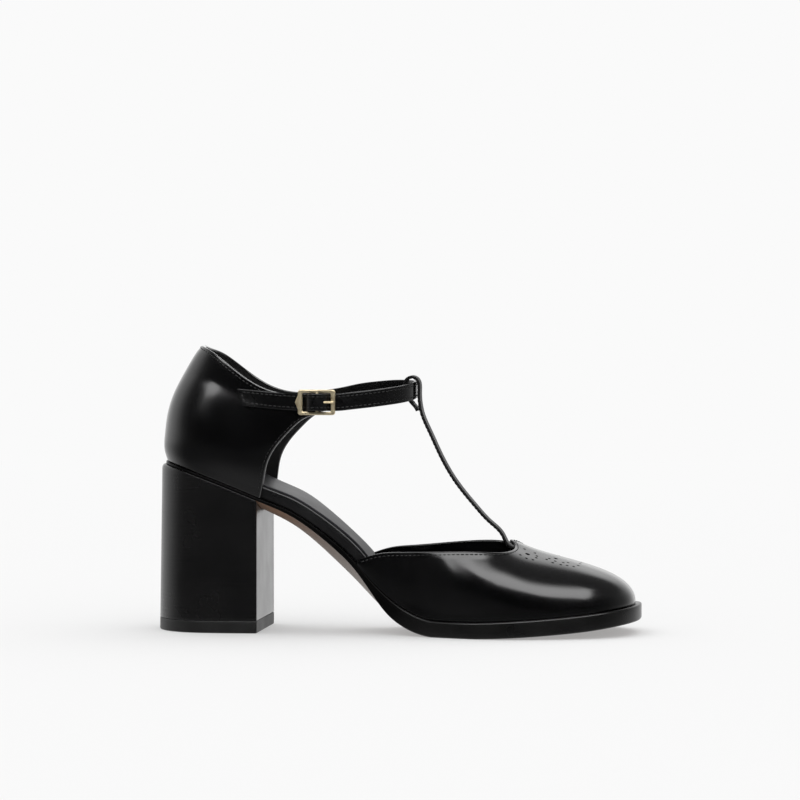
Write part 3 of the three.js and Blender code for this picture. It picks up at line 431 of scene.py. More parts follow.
def shoe_piece(name, mesh, finishes, slot, *nodes):
    """An object of the shoe that stands for CAD nodes."""
    made = bpy.data.objects.new(name, mesh)
    for finish in finishes:
        mesh.materials.append(finish)
    scene.collection.objects.link(made)
    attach(made, "root")
    if nodes:
        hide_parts(*nodes)
    return made


def shader_group(name, inputs, outputs):
    """An empty shader node group with its input and output nodes. Inputs are pairs of name and value."""
    made = bpy.data.node_groups.new(name, "ShaderNodeTree")
    for label, value in inputs:
        socket = made.interface.new_socket(label, in_out="INPUT", socket_type="NodeSocketFloat")
        socket.default_value = value
    for label in outputs:
        made.interface.new_socket(label, in_out="OUTPUT", socket_type="NodeSocketFloat")
    return made, made.nodes.new("NodeGroupInput").outputs, made.nodes.new("NodeGroupOutput").inputs


# Grain of smooth leather: fine pebbles and pores as a height, and slow patches for the shade
leather_grain, taken, given = shader_group(
    "leather_grain", [("Pebble Size", 0.6), ("Patch Size", 14.0)], ["Height", "Patch"])
where = node(leather_grain, "ShaderNodeTexCoord").outputs["Object"]
scale = combine(leather_grain, 1.0 / MM, taken["Pebble Size"], "DIVIDE")
patch_scale = combine(leather_grain, 1.0 / MM, taken["Patch Size"], "DIVIDE")
pebble = node(leather_grain, "ShaderNodeTexVoronoi", {"Vector": where, "Scale": scale}, feature="SMOOTH_F1")
pores = node(leather_grain, "ShaderNodeTexNoise", {
    "Vector": where, "Scale": times(leather_grain, scale, 1.7), "Detail": 3.0, "Roughness": 0.6})
patch = node(leather_grain, "ShaderNodeTexNoise", {"Vector": where, "Scale": patch_scale, "Detail": 2.0})
height = combine(leather_grain, pebble.outputs["Distance"], times(leather_grain, pores.outputs[0], 0.8))
leather_grain.links.new(height, given["Height"])
leather_grain.links.new(patch.outputs[0], given["Patch"])


def colour_between(tree, share, start, end):
    """A colour that goes from start to end as the share goes from 0 to 1."""
    start, end = (colour if isinstance(colour, bpy.types.NodeSocket) else (*colour, 1.0)
                  for colour in (start, end))
    return node(tree, "ShaderNodeMix", {0: share, 6: start, 7: end}, data_type="RGBA").outputs[2]


def new_finish(name):
    """A new material with its node tree and its main shader's inputs."""
    made = bpy.data.materials.new(name)
    made.use_nodes = True
    return made, made.node_tree, made.node_tree.nodes["Principled BSDF"].inputs


def leather(name, dark, light, smooth, rough, bump, pebble=0.6, patch=14.0, **sockets):
    """Leather: its colour and roughness drift between two values, and its grain is a bump."""
    made, tree, shader = new_finish(name)
    grain = node(tree, "ShaderNodeGroup", {"Pebble Size": pebble, "Patch Size": patch},
                 node_tree=leather_grain).outputs
    drift = eased(tree, grain["Patch"], 0.3, 0.7)
    tree.links.new(colour_between(tree, drift, dark, light), shader["Base Color"])
    tree.links.new(eased(tree, grain["Patch"], 0.25, 0.75, smooth, rough), shader["Roughness"])
    bumped = {"Strength": 1.0, "Distance": bump * MM, "Height": grain["Height"]}
    tree.links.new(node(tree, "ShaderNodeBump", bumped).outputs[0], shader["Normal"])
    for key, value in sockets.items():
        shader[key.replace("_", " ").title().replace("Ior", "IOR")].default_value = value
    return made


def eased_along(finish, socket, back, front, start, end):
    """Lets a value of a finish go from start to end between two places along the shoe, in metres."""
    tree = finish.node_tree
    value = eased(tree, axes_of(tree)["X"], back, front, start, end)
    tree.links.new(value, tree.nodes["Principled BSDF"].inputs[socket])


sole_edge = leather("black_sole_edge", (0.0022, 0.0022, 0.0022), (0.0036, 0.0034, 0.0034), 0.26, 0.34,
                    0.012, 1.1)
eased_along(sole_edge, "Specular IOR Level", -0.006, 0.022, 0.05, 0.5)
waist_leather = leather("tan_sole_leather", (0.19, 0.100, 0.058), (0.22, 0.125, 0.075), 0.5, 0.6, 0.02, 0.8,
                        30.0)
tree = waist_leather.node_tree
shader = tree.nodes["Principled BSDF"].inputs
tan = shader["Base Color"].links[0].from_socket
# Painted light: the underside's colour goes from a darker tan, painted shade beside the heel, to a pale
# beige towards the ball, painted light where the white table lights it
painted_floor_light = eased(tree, axes_of(tree)["X"], -0.062, -0.020)
tree.links.new(colour_between(tree, painted_floor_light, tan, (0.23, 0.195, 0.175)), shader["Base Color"])
across, inset, depth = layer_rows(sole_cells, *sole_rounding)


def sole_point(u, across, inset, depth):
    """Outsole at a share along, a share across from -1 to 1, and a depth from its top as a share."""
    x = sole_x(u, inset, inset)
    y = mix(edge_y(x, -1, inset), edge_y(x, 1, inset), (across + 1.0) / 2.0)
    crown = np.maximum(0.0, waist_crown * crown_share(x / sole_length)) * (1.0 - across ** 2)
    under = np.maximum(0.0, sole_bottom(x) - crown)
    return np.stack([x, y, mix(sole_top(x), under, depth)], axis=-1)


rows = len(across) - 1
outsole_top = surface_grid("outsole_top", sole_columns, rows, lambda i, j: sole_point(
    i / sole_columns, across[j], inset[j], depth[j]))
outsole_under = surface_grid("outsole_under", sole_columns, rows, lambda i, j: sole_point(
    i / sole_columns, across[j], inset[j], 1.0 - depth[j]), finish=1, rim=5)
inset_down, depth_down = rounded_rows(*sole_rounding)
cap_inset = np.concatenate([inset_down[::-1], inset_down[1:]])
cap_depth = np.concatenate([depth_down[::-1], 1.0 - depth_down[1:]])
cap_rows = len(cap_inset) - 1
caps = [surface_grid("outsole_cap", sole_cells, cap_rows, lambda i, j: sole_point(
    np.full(len(i), end), 2.0 * i / sole_cells - 1.0, cap_inset[j], cap_depth[j])) for end in (0.0, 1.0)]
outsole_mesh = joined("outsole_leather", [outsole_top, outsole_under, *caps])
for face in outsole_mesh.polygons:
    if face.center.x < waist_start:
        face.material_index = 0
shoe_piece("outsole_leather", outsole_mesh, [sole_edge, waist_leather], "sole_leather", "outsole")

# Heel: a tall block of stacked leather lifts under the seat, cut flat at the breast,
# sanded, stained black and waxed. The joints between its lifts show as fine lines.
heel_length = 48.4
heel_flare = 1.3
heel_side_flare = 0.33
heel_overhang = 2.0
heel_corner = 0.8
lift_thickness = 5.9
heel_rim = 1.5
heel_rim_height = 2.2
seat_joint = 0.12
lift_joint = 0.05


def seat_underside(x, y):
    """Height of the outsole's crowned underside over the heel."""
    x = np.maximum(x, seat_back + tip_flat)
    lateral = edge_y(x, -1, 0.0)
    medial = edge_y(x, 1, 0.0)
    share = np.clip((y - lateral) / (medial - lateral), 0.0, 1.0)
    return sole_bottom(x) - waist_crown * crown_share(x / sole_length) * (1.0 - (2.0 * share - 1.0) ** 2)


side_share = np.linspace(1.0, 0.0, 61)
breast = seat_back + heel_length
side_x = mix(seat_back + tip_flat, breast - heel_corner, 1.0 - np.cos(side_share * math.pi / 2.0))
arc = np.linspace(0.0, math.pi / 2.0, 6)[1:]
arc_x = breast - heel_corner + heel_corner * np.sin(arc)
arc_in = heel_corner * (1.0 - np.cos(arc))
outer_corner = edge_y(side_x[0], -1, 0.0)
inner_corner = edge_y(side_x[0], 1, 0.0)
breast_y = np.linspace(inner_corner - heel_corner, outer_corner + heel_corner, 21)[1:-1]
heel_x = np.concatenate([arc_x[::-1], side_x, side_x[::-1][1:], arc_x, np.full(len(breast_y), breast)])
heel_y = np.concatenate([outer_corner + arc_in[::-1], edge_y(side_x, -1, 0.0),
                         edge_y(side_x[::-1][1:], 1, 0.0), inner_corner - arc_in, breast_y])
heel_x = np.append(heel_x, heel_x[0])
heel_y = np.append(heel_y, heel_y[0])


def heel_point(i, z, inset):
    """Place on the heel's outline at a height, moved inwards by inset."""
    ahead = np.minimum(i + 1, len(heel_x) - 1)
    behind = np.maximum(i - 1, 0)
    run_x = heel_x[ahead] - heel_x[behind]
    run_y = heel_y[ahead] - heel_y[behind]
    length = np.maximum(1e-6, np.hypot(run_x, run_y))
    lowness = 1.0 - z / seat_height
    backward = 1.0 - (heel_x[i] - seat_back) / heel_length
    x = heel_x[i] - (heel_flare * lowness + heel_overhang) * backward
    y = heel_y[i] + heel_side_flare * lowness * heel_y[i] / (seat_width / 2.0)
    return np.stack([x + inset * run_y / length, y - inset * run_x / length, z], axis=-1)


turn = np.linspace(0.0, math.pi / 2.0, 6)
heel_share = np.concatenate([[0.0, 0.0, 0.0], np.linspace(0.0, 1.0, 40), np.ones(5)])
heel_raise = np.concatenate([[0.0, 0.12, 0.3], mix(0.4, 0.0, np.linspace(0.0, 1.0, 40)), np.zeros(5)])
heel_drop = np.concatenate([np.zeros(3), np.linspace(0.0, 1.0, 40), 1.0 - np.sin(turn[1:])])
heel_inset = np.concatenate([[0.35, 0.12, 0.02], np.zeros(45)])
heel_turn_in = np.concatenate([np.zeros(43), 1.0 - np.cos(turn[1:])])


def heel_block_point(i, j):
    """Heel's side by the outline's place and the row, up to the seat's underside."""
    top = np.full(len(i), seat_height)
    for each_pass in range(4):
        seat = heel_point(i, top, 0.0)
        top = seat_underside(seat[:, 0], seat[:, 1]) - seat_joint
    forward = (heel_x[i] - seat_back) / heel_length
    shoulder = 0.12 + 0.88 * np.clip(1.0 - forward / 0.4, 0.0, 1.0) ** 2
    height = mix(lift_thickness + lift_joint, top, heel_share[j]) + heel_raise[j]
    height = height - heel_drop[j] * heel_rim_height * shoulder
    return heel_point(i, height, heel_inset[j] + heel_turn_in[j] * heel_rim * shoulder)


# Lines between the stacked lifts, uneven in thickness and in shade
stack_lines, taken, given = shader_group("stack_lines", [], ["Height"])
where = node(stack_lines, "ShaderNodeTexCoord").outputs["Object"]
waver = node(stack_lines, "ShaderNodeTexNoise", {"Vector": where, "Scale": 40.0, "Detail": 1.0}).outputs[0]
stack_height = combine(stack_lines, axes_of(stack_lines)["Z"], times(stack_lines, waver, 0.0007))
lifts = node(stack_lines, "ShaderNodeTexVoronoi", {
    "W": times(stack_lines, stack_height, 1.0 / (1.9 * MM)), "Scale": 1.0, "Randomness": 0.7},
    voronoi_dimensions="1D", feature="DISTANCE_TO_EDGE").outputs["Distance"]
stack_lines.links.new(eased(stack_lines, lifts, 0.01, 0.09), given["Height"])


def stacked_leather(name, dark, light, smooth, rough, **sockets):
    """Sanded stack of lifts: leather with a fine groove at every joint."""
    made = leather(name, dark, light, smooth, rough, 0.012, 0.9, 22.0, **sockets)
    tree = made.node_tree
    normal = tree.nodes["Principled BSDF"].inputs["Normal"]
    lines = node(tree, "ShaderNodeGroup", node_tree=stack_lines).outputs[0]
    grooves = node(tree, "ShaderNodeBump", {"Strength": 1.0, "Distance": 0.025 * MM, "Height": lines,
                                            "Normal": normal.links[0].from_socket})
    tree.links.new(grooves.outputs[0], normal)
    return made


stacked = stacked_leather("stacked_leather", (0.0022, 0.0022, 0.0024), (0.0034, 0.0032, 0.0034), 0.22, 0.28)
breast_finish = stacked_leather("stacked_breast", (0.0050, 0.0048, 0.0046), (0.0080, 0.0076, 0.0072),
                                0.30, 0.40, coat_weight=0.6, coat_roughness=0.22)

heel_columns = len(heel_x) - 1
heel_side = surface_grid("heel_side", heel_columns, len(heel_share) - 1, heel_block_point)
heel_mesh = joined("heel_stack", [heel_side])
for face in heel_mesh.polygons:
    if face.normal.x > 0.8:
        face.material_index = 1
shoe_piece("heel_stack", heel_mesh, [stacked, breast_finish], "heel_leather", "heel_block")

# Top lift: a rubber lift nailed and cemented under the heel, its edge trimmed flush
# with the stack and left matt.
lift_height = np.array([0.0, 0.1, 0.35, 0.6, 2.0, 4.0, 5.5, 5.78, 5.85])
lift_inset = np.array([0.7, 0.25, 0.06, 0.0, 0.0, 0.0, 0.0, 0.06, 0.25])
rubber = leather("lift_rubber", (0.0035, 0.0035, 0.0036), (0.0050, 0.0050, 0.0050), 0.45, 0.55, 0.02, 0.5,
                 9.0)
lift_side = surface_grid("lift_side", heel_columns, len(lift_height) - 1, lambda i, j: heel_point(
    i, lift_height[j], lift_inset[j]))
shoe_piece("heel_lift", joined("heel_lift", [lift_side]), [rubber], "lift_rubber", "top_lift")

# Insole board: the firm board on the outsole that the upper is lasted round, covered
# in thin black leather where it shows between the vamp and the heel quarter.
board_thickness = 5.4
board_drop = 2.4
sock_thickness = 0.7
board_margin = 0.5
sock_margin = 0.4
layer_flat = 0.3
upper_wall = 1.6
welt_reach = 2.9
quarter_margin = 0.8
# Share along, how far inside the sole's edge the upper stands, and the board inside it in walls
inset_rows = [
    (0.00, quarter_margin, 1.62), (0.21, quarter_margin, 1.50), (0.28, welt_reach * 0.10, 0.81),
    (0.36, welt_reach * 0.10, 0.81), (0.42, welt_reach * 0.10, 1.44), (0.50, welt_reach * 0.38, 1.75),
    (0.60, welt_reach * 0.90, 1.88), (0.70, welt_reach, 2.06), (1.00, welt_reach, 2.06),
]
edge_inset = column(inset_rows, 1)
wall_inset = column(inset_rows, 2)
board_taper = smooth_curve([0.0, 0.40, 0.47, 0.56, 0.66, 1.0], [1.0, 1.0, 0.9, 0.5, 0.4, 0.4])
board_cant = smooth_curve([0.0, 0.22, 0.32, 0.43, 0.52, 0.62, 1.0], [0.0, 0.0, 0.35, 1.0, 0.7, 0.0, 0.0])


def upright(x, thickness):
    """Vertical height of a layer of this thickness lying on the sloping sole."""
    return thickness * np.hypot(1.0, sole_top(x + 0.5) - sole_top(x - 0.5))


def board_inset(along):
    return edge_inset(along) + wall_inset(along) * upper_wall


def board_top(x, share):
    thickness = board_thickness * board_taper(x / sole_length)
    return sole_top(x) + seat_gap + upright(x, thickness) - board_drop * board_cant(x / sole_length) * share


def board_plan(u, across, extra):
    """X, Y and share across of a layer that lies inside the upper."""
    ends = extra + layer_flat
    x = sole_x(u, board_inset(0.0) + ends, board_inset(1.0) + ends)
    inset = board_inset(x / sole_length) + extra
    share = (across + 1.0) / 2.0
    return x, mix(edge_y(x, -1, inset), edge_y(x, 1, inset), share), share


def board_point(u, across, inset, depth):
    x, y, share = board_plan(u, across, board_margin + inset)
    return np.stack([x, y, mix(board_top(x, share), sole_top(x) + 0.05, depth)], axis=-1)


def sock_point(u, across, inset, depth):
    x, y, share = board_plan(u, across, board_margin + sock_margin + inset)
    low = board_top(x, share) + upright(x, 0.1)
    high = board_top(x, share) + upright(x, 0.3 + sock_thickness)
    return np.stack([x, y, mix(high, low, depth)], axis=-1)


def layer_mesh(name, point, columns, cells, edge, rounding):
    """A thin layer inside the shoe, closed round its edges."""
    across, inset, depth = layer_rows(cells, edge, rounding)
    faces = [surface_grid(name + "_face", columns, len(across) - 1, lambda i, j: point(
        i / columns, across[j], inset[j], depth[j] if top else 1.0 - depth[j])) for top in (True, False)]
    return joined(name, faces)


board_cover = leather("board_cover", (0.0060, 0.0060, 0.0066), (0.0085, 0.0085, 0.0092), 0.26, 0.34, 0.015,
                      0.7)
shoe_piece("insole_board_covered", layer_mesh("insole_board_covered", board_point, 200, 18, 0.7, 0.16),
           [board_cover], "board_leather", "insole_board")

# Sock: a thin black glazed leather sock glued on the board, shinier under the heel
# than where the waist slopes down.
sock_leather = leather("glazed_sock", (0.018, 0.018, 0.020), (0.026, 0.026, 0.029), 0.40, 0.48, 0.01, 0.8,
                       20.0)
eased_along(sock_leather, "Specular IOR Level", -0.042, -0.022, 0.33, 0.10)
shoe_piece("sock_glazed", layer_mesh("sock_glazed", sock_point, 200, 18, 0.25, 0.3),
           [sock_leather], "sock_leather", "sock_lining")

# Vamp: the closed front of the upper, one piece of smooth black box calf lasted over
# the toe and lined with thin leather. It has a wingless punched medallion on both
# sides of the ridge below the throat, and one stitch row inside its topline.
throat_height = 45.2
medial_rise = 1.6
nose_bulge = 0.3
vamp_rear = 0.4215
# Round from the throat to the rear tip: along, across, rise, slope, stand, reach, mid, out, up
vamp_rows = [
    (0.00, 0.7312, 0.000, 1.000, 30.6, 0.162, 0.487, 0.14, 0.000, 0.230),
    (0.10, 0.7380, 0.093, 0.979, 30.0, 0.164, 0.465, 0.15, 0.004, 0.226),
    (0.20, 0.7440, 0.200, 0.942, 29.5, 0.173, 0.420, 0.17, 0.013, 0.208),
    (0.30, 0.7440, 0.325, 0.918, 30.5, 0.181, 0.354, 0.21, 0.027, 0.177),
    (0.40, 0.7360, 0.475, 0.903, 34.0, 0.190, 0.288, 0.28, 0.042, 0.133),
    (0.50, 0.7160, 0.635, 0.900, 41.0, 0.199, 0.243, 0.36, 0.051, 0.084),
    (0.60, 0.6730, 0.755, 0.912, 53.0, 0.199, 0.221, 0.44, 0.046, 0.040),
    (0.70, 0.6080, 0.825, 0.905, 64.0, 0.188, 0.199, 0.50, 0.033, 0.011),
    (0.85, 0.5140, 0.900, 0.885, 76.0, 0.133, 0.133, 0.50, 0.015, 0.000),
    (0.93, 0.4660, 0.955, 0.862, 84.0, 0.077, 0.077, 0.50, 0.004, 0.000),
    (1.00, 0.4220, 0.986, 0.785, 88.0, 0.009, 0.009, 0.50, 0.000, 0.000),
]


def mirrored(rows, name, sign=1.0):
    """A table column as a function of the way round both sides, mirrored at the middle."""
    far = rows[:0:-1]
    return smooth_curve([-row[0] for row in far] + [row[0] for row in rows],
                        [sign * row[name] for row in far] + [row[name] for row in rows])


vamp_along, vamp_rise, vamp_slope, vamp_stand, vamp_reach, vamp_mid, vamp_out, vamp_up = (
    mirrored(vamp_rows, name) for name in (1, 3, 4, 5, 6, 7, 8, 9))
vamp_across = mirrored(vamp_rows, 2, -1.0)


def standing_line(start, end, inset, side):
    """Line on which the upper stands on the sole, from its tip along one side."""
    x = mix(start, end, np.linspace(0.0, 1.0, 4001) ** 1.7)
    y = edge_y(x, side, inset(x))
    y[0] = edge_y(x[:1], 0, inset(x[:1]))[0]
    return walk(np.stack([x, y, sole_top(x) + seat_gap], axis=-1))


vamp_foot = {side: standing_line(sole_length - welt_reach - tip_flat, vamp_rear * sole_length,
                                 lambda x: edge_inset(x / sole_length), side) for side in (-1, 1)}


def both_sides(lines, around):
    """A pair of lines walked from -1 on the outer side to 1 on the inner."""
    share = np.abs(around)
    return np.where((around < 0.0)[..., None], lines[-1](share), lines[1](share))


def unit(vectors):
    return vectors / np.maximum(1e-9, np.linalg.norm(vectors, axis=-1, keepdims=True))


inside_vamp = np.array([0.72 * sole_length, 0.0, 0.2 * throat_height])


def vamp_surface(around, up):
    """Outer face of the vamp: around runs from -1 at the outer tip to 1 at the inner, up from 0 to 1."""
    around, up = np.broadcast_arrays(np.asarray(around, float), np.asarray(up, float))
    foot = both_sides(vamp_foot, around)
    step = 0.012
    tangent = both_sides(vamp_foot, np.minimum(1.0, around + step))
    tangent = tangent - both_sides(vamp_foot, np.maximum(-1.0, around - step))
    outward = unit(np.stack([tangent[..., 1], -tangent[..., 0], np.zeros(around.shape)], axis=-1))
    facing = np.sum(outward * (foot - inside_vamp), axis=-1, keepdims=True)
    outward = np.where(facing < 0.0, -outward, outward)
    x = vamp_along(around) * sole_length
    share = vamp_across(around)
    y = np.abs(share) * np.where(share < 0.0, edge_y(x, -1, 0.0), edge_y(x, 1, 0.0))
    lift = np.where(around > 0.0, medial_rise * np.sin(math.pi * around) ** 2, 0.0)
    top = np.stack([x, y, vamp_rise(around) * throat_height + lift], axis=-1)
    inward = (top - foot) * np.array([1.0, 1.0, 0.0]) - upper_wall * outward
    slope = np.radians(vamp_slope(around))[..., None]
    upwards = np.array([0.0, 0.0, 1.0])
    arrive = unit(inward) * np.cos(slope) + upwards * np.sin(slope)
    size = throat_height
    low = foot + nose_bulge * outward + upwards * (vamp_stand(around) * size)[..., None]
    high = top - arrive * (vamp_reach(around) * size)[..., None]
    middle = mix(low, high, vamp_mid(around)[..., None]) + upwards * (vamp_up(around) * size)[..., None]
    middle = middle + outward * (vamp_out(around) * size)[..., None]
    t = up[..., None]
    s = 1.0 - t
    return (foot * s ** 4 + low * 4.0 * s ** 3 * t + middle * 6.0 * s ** 2 * t ** 2
            + high * 4.0 * s * t ** 3 + top * t ** 4)


def outward_normal(surface, a, b, inside, step=0.01):
    """Unit normal of a surface of two shares, pointing away from a place inside it."""
    along_a = surface(np.minimum(1.0, a + step), b) - surface(np.maximum(-1.0, a - step), b)
    along_b = surface(a, np.minimum(1.0, b + step)) - surface(a, np.maximum(0.0, b - step))
    normal = unit(np.cross(along_a, along_b))
    facing = np.sum(normal * (surface(a, b) - inside), axis=-1, keepdims=True)
    return np.where(facing < 0.0, -normal, normal)


def vamp_normal(around, up):
    return outward_normal(vamp_surface, around, up, inside_vamp)


# Creases of the vamp where the ball bends: ends of each in x and z, width and depth (ridges are negative)
creases = [
    (124.0, 44.0, 131.0, 10.0, 6.5, 0.60), (139.0, 46.0, 149.0, 24.0, 5.0, -0.30),
    (153.0, 46.0, 165.0, 30.0, 4.6, 0.36), (168.0, 36.0, 188.0, 20.0, 4.2, -0.16),
]


def crease_depth(place):
    """How far soft troughs sink the vamp's face at these places."""
    sunk = np.zeros(place.shape[:-1])
    for start_x, start_z, end_x, end_z, width, depth in creases:
        run = np.array([end_x - start_x, end_z - start_z])
        length = np.linalg.norm(run)
        from_start = np.stack([place[..., 0] - start_x, place[..., 2] - start_z], axis=-1)
        along = from_start @ run / length ** 2
        aside = (from_start[..., 0] * run[1] - from_start[..., 1] * run[0]) / length
        strength = smooth_step(along / 0.4 + 0.5) * smooth_step((1.3 - along) / 0.6)
        sunk += depth * strength * np.exp(-(aside / width) ** 2)
    return sunk * smooth_step(np.abs(place[..., 1]) / 18.0)


def wall_rows(cells, length, edge, rounding):
    """Rows over a wall's face and round both its edges: share of the way, and depth as a share."""
    reach, sink = rounded_rows(edge, rounding)
    face = np.linspace(edge / length, 1.0 - edge / length, cells + 1)[1:-1]
    return (np.concatenate([reach / length, face, 1.0 - reach[::-1] / length]),
            np.concatenate([sink, np.zeros(len(face)), sink[::-1]]))


def wall_mesh(name, along, upward, point):
    """A leather wall closed round all its edges: point(a, b, depth) places it, a and b being shares
    and depth the share of its thickness. Its outer face takes finish 0, its lining 1, its edges 2."""
    a, a_depth = wall_rows(*along)
    b, b_depth = wall_rows(*upward)
    rim = {"rim": 5, "rim_columns": 5, "rim_finish": 2}
    outer = surface_grid(name + "_outer", len(a) - 1, len(b) - 1, lambda i, j: point(
        a[i], b[j], np.maximum(a_depth[i], b_depth[j])), **rim)
    inner = surface_grid(name + "_inner", len(a) - 1, len(b) - 1, lambda i, j: point(
        a[i], b[j], 1.0 - np.maximum(a_depth[i], b_depth[j])), finish=1, **rim)
    return joined(name, [outer, inner])


def settled(place, way_up):
    """Places on a wall, its lowest part lowered on to the sole and none of it below."""
    settle = seat_gap - 0.05
    place[..., 2] -= settle * (1.0 - smooth_step(way_up))
    place[..., 2] = np.maximum(place[..., 2], sole_top(place[..., 0]) + seat_gap - settle)
    return place


def vamp_point(a, b, depth):
    around = 2.0 * a - 1.0
    place = vamp_surface(around, b)
    sunk = crease_depth(place) * smooth_step(b / 0.15) * smooth_step((1.0 - b) / 0.12)
    return settled(place - vamp_normal(around, b) * (depth * upper_wall + sunk)[..., None], b / 0.12)


calf = leather("black_box_calf", (0.0009, 0.0009, 0.0011), (0.0014, 0.0014, 0.0017), 0.16, 0.21, 0.007, 0.55,
               18.0, coat_weight=0.2, coat_roughness=0.08)
lining = leather("lining_leather", (0.0040, 0.0038, 0.0038), (0.0060, 0.0057, 0.0057), 0.45, 0.55, 0.02, 0.8)
glazed_edge = leather("glazed_edge", (0.0020, 0.0020, 0.0022), (0.0030, 0.0030, 0.0032), 0.12, 0.16, 0.004,
                      0.5, 9.0, specular_ior_level=1.0, coat_weight=1.0, coat_roughness=0.08, coat_ior=1.8)
# Walls and floors of the punched holes: matt as a raw cut, and a little darker than the calf as painted
# shade inside the holes
punched = leather("punched_hole", (0.0006, 0.0006, 0.0006), (0.0009, 0.0009, 0.0009), 0.7, 0.8, 0.02, 0.4)
vamp_mesh = wall_mesh("vamp_calf", (330, 225.0, 0.7, 0.46), (88, 44.0, 0.7, 0.46), vamp_point)

# Medallion: millimetres forwards from the throat, out from the ridge, and the hole's diameter
medallion = [
    (9.5, 12.5, 2.4), (6.5, 17.0, 1.35), (7.5, 7.5, 1.35), (9.5, 18.0, 1.35), (12.5, 17.0, 1.35),
    (13.8, 13.6, 1.35), (13.8, 11.0, 1.35), (12.6, 8.0, 1.35),
    (22.5, 7.0, 2.0), (18.6, 12.0, 1.35), (19.6, 9.8, 1.35), (21.8, 14.0, 1.35), (22.6, 11.2, 1.35),
    (25.6, 13.8, 1.35), (26.4, 10.2, 1.35), (28.6, 12.8, 1.35), (28.6, 8.2, 1.35), (31.6, 11.6, 1.35),
    (33.4, 8.0, 1.35), (33.6, 2.4, 1.35),
]
punch_depth = 0.9
punch_above = 0.6


def punch(bm, middle, out, diameter):
    """A round cutter along a surface's normal, from above the surface to a depth under it."""
    facing = Vector(out).to_track_quat("Z", "Y").to_matrix().to_4x4()
    centre = Matrix.Translation(placed(middle + out * (punch_above - punch_depth) / 2.0))
    radius = diameter / 2.0 * MM
    bmesh.ops.create_cone(bm, cap_ends=True, segments=20, radius1=radius, radius2=radius,
                          depth=(punch_above + punch_depth) * MM, matrix=centre @ facing)


def cut_away(mesh, cutter):
    """The mesh with the cutter's shapes taken out, and the cut faces in finish 3."""
    for face in cutter.faces:
        face.material_index = 3
    tool_mesh = bpy.data.meshes.new("cutter")
    cutter.to_mesh(tool_mesh)
    cutter.free()
    tool = bpy.data.objects.new("cutter", tool_mesh)
    blank = bpy.data.objects.new("blank", mesh)
    for made in (tool, blank):
        scene.collection.objects.link(made)
    for each_slot in range(4):
        tool_mesh.materials.append(None)
        mesh.materials.append(None)
    cutting = blank.modifiers.new("cut", "BOOLEAN")
    cutting.operation = "DIFFERENCE"
    cutting.solver = "EXACT"
    cutting.object = tool
    done = bpy.data.meshes.new_from_object(blank.evaluated_get(bpy.context.evaluated_depsgraph_get()))
    for made in (tool, blank):
        bpy.data.objects.remove(made)
    bpy.data.meshes.remove(tool_mesh)
    done.materials.clear()
    done.set_sharp_from_angle(angle=math.radians(40.0))
    return done


around, way = np.meshgrid(np.linspace(-0.6, 0.6, 601), np.linspace(0.2, 0.98, 391))
around, way = around.ravel(), way.ravel()
upper_face = vamp_surface(around, way)
bm = bmesh.new()
for forward, out, diameter in medallion:
    for side in (-1.0, 1.0):
        spot = np.array([vamp_rows[0][1] * sole_length + forward, side * out])
        nearest = np.argmin(np.linalg.norm(upper_face[:, :2] - spot, axis=1))
        punch(bm, upper_face[nearest], vamp_normal(around[nearest], way[nearest]), diameter)
shoe_piece("vamp_calf", cut_away(vamp_mesh, bm), [calf, lining, glazed_edge, punched], "upper_leather",
           "vamp")

# Heel quarter: the back of the upper, one piece of the same calf from wing to wing
# round the heel, lined, with a stitch row inside its collar and both front edges.
collar_height = 138.4
quarter_front = 0.223
heel_fullness = 0.03
medial_backset = 2.0
# Round from the back to the wing: along, across, rise and drop of the inner side
collar_rows = [
    (0.00, 0.0885, 0.000, 1.0000, 0.000), (0.10, 0.0898, 0.097, 0.9990, 0.004),
    (0.20, 0.0965, 0.200, 0.9950, 0.010), (0.30, 0.1130, 0.300, 0.9830, 0.013),
    (0.45, 0.1490, 0.393, 0.9420, 0.019), (0.60, 0.1950, 0.444, 0.8860, 0.020),
    (0.75, 0.2480, 0.458, 0.8440, 0.012), (0.88, 0.3000, 0.456, 0.8310, 0.004),
    (1.00, 0.3470, 0.447, 0.8300, 0.000),
]
# Back seam: way up, along and rise. Front edge: way up, along, across and rise
back_rows = [
    (0.00, 0.0120, 0.000), (0.08, 0.0055, 0.075), (0.24, 0.0060, 0.240), (0.40, 0.0111, 0.395),
    (0.55, 0.0219, 0.550), (0.72, 0.0411, 0.716), (0.87, 0.0626, 0.871), (0.96, 0.0800, 0.970),
    (1.00, 0.0885, 1.000),
]
front_rows = [
    (0.000, 0.2230, 0.466, 0.000), (0.130, 0.2306, 0.485, 0.146), (0.260, 0.2357, 0.497, 0.272),
    (0.390, 0.2440, 0.500, 0.395), (0.510, 0.2602, 0.494, 0.520), (0.620, 0.2855, 0.479, 0.655),
    (0.710, 0.3200, 0.462, 0.785), (0.780, 0.3470, 0.453, 0.820), (0.890, 0.3470, 0.450, 0.910),
    (1.000, 0.3470, 0.447, 1.000),
]
back_along, back_rise = column(back_rows, 1), column(back_rows, 2)
front_along, front_across, front_rise = (column(front_rows, name) for name in (1, 2, 3))
collar_along, collar_rise, collar_drop = (mirrored(collar_rows, name) for name in (1, 3, 4))
collar_across = mirrored(collar_rows, 2, -1.0)
quarter_foot = {side: standing_line(seat_back + quarter_margin + tip_flat, quarter_front * sole_length,
                                    lambda x: quarter_margin, side) for side in (-1, 1)}


def collar_point(around):
    drop = np.where(around > 0.0, collar_drop(around), 0.0)
    return np.stack([collar_along(around) * sole_length, collar_across(around) * seat_width,
                     (collar_rise(around) - drop) * collar_height], axis=-1)


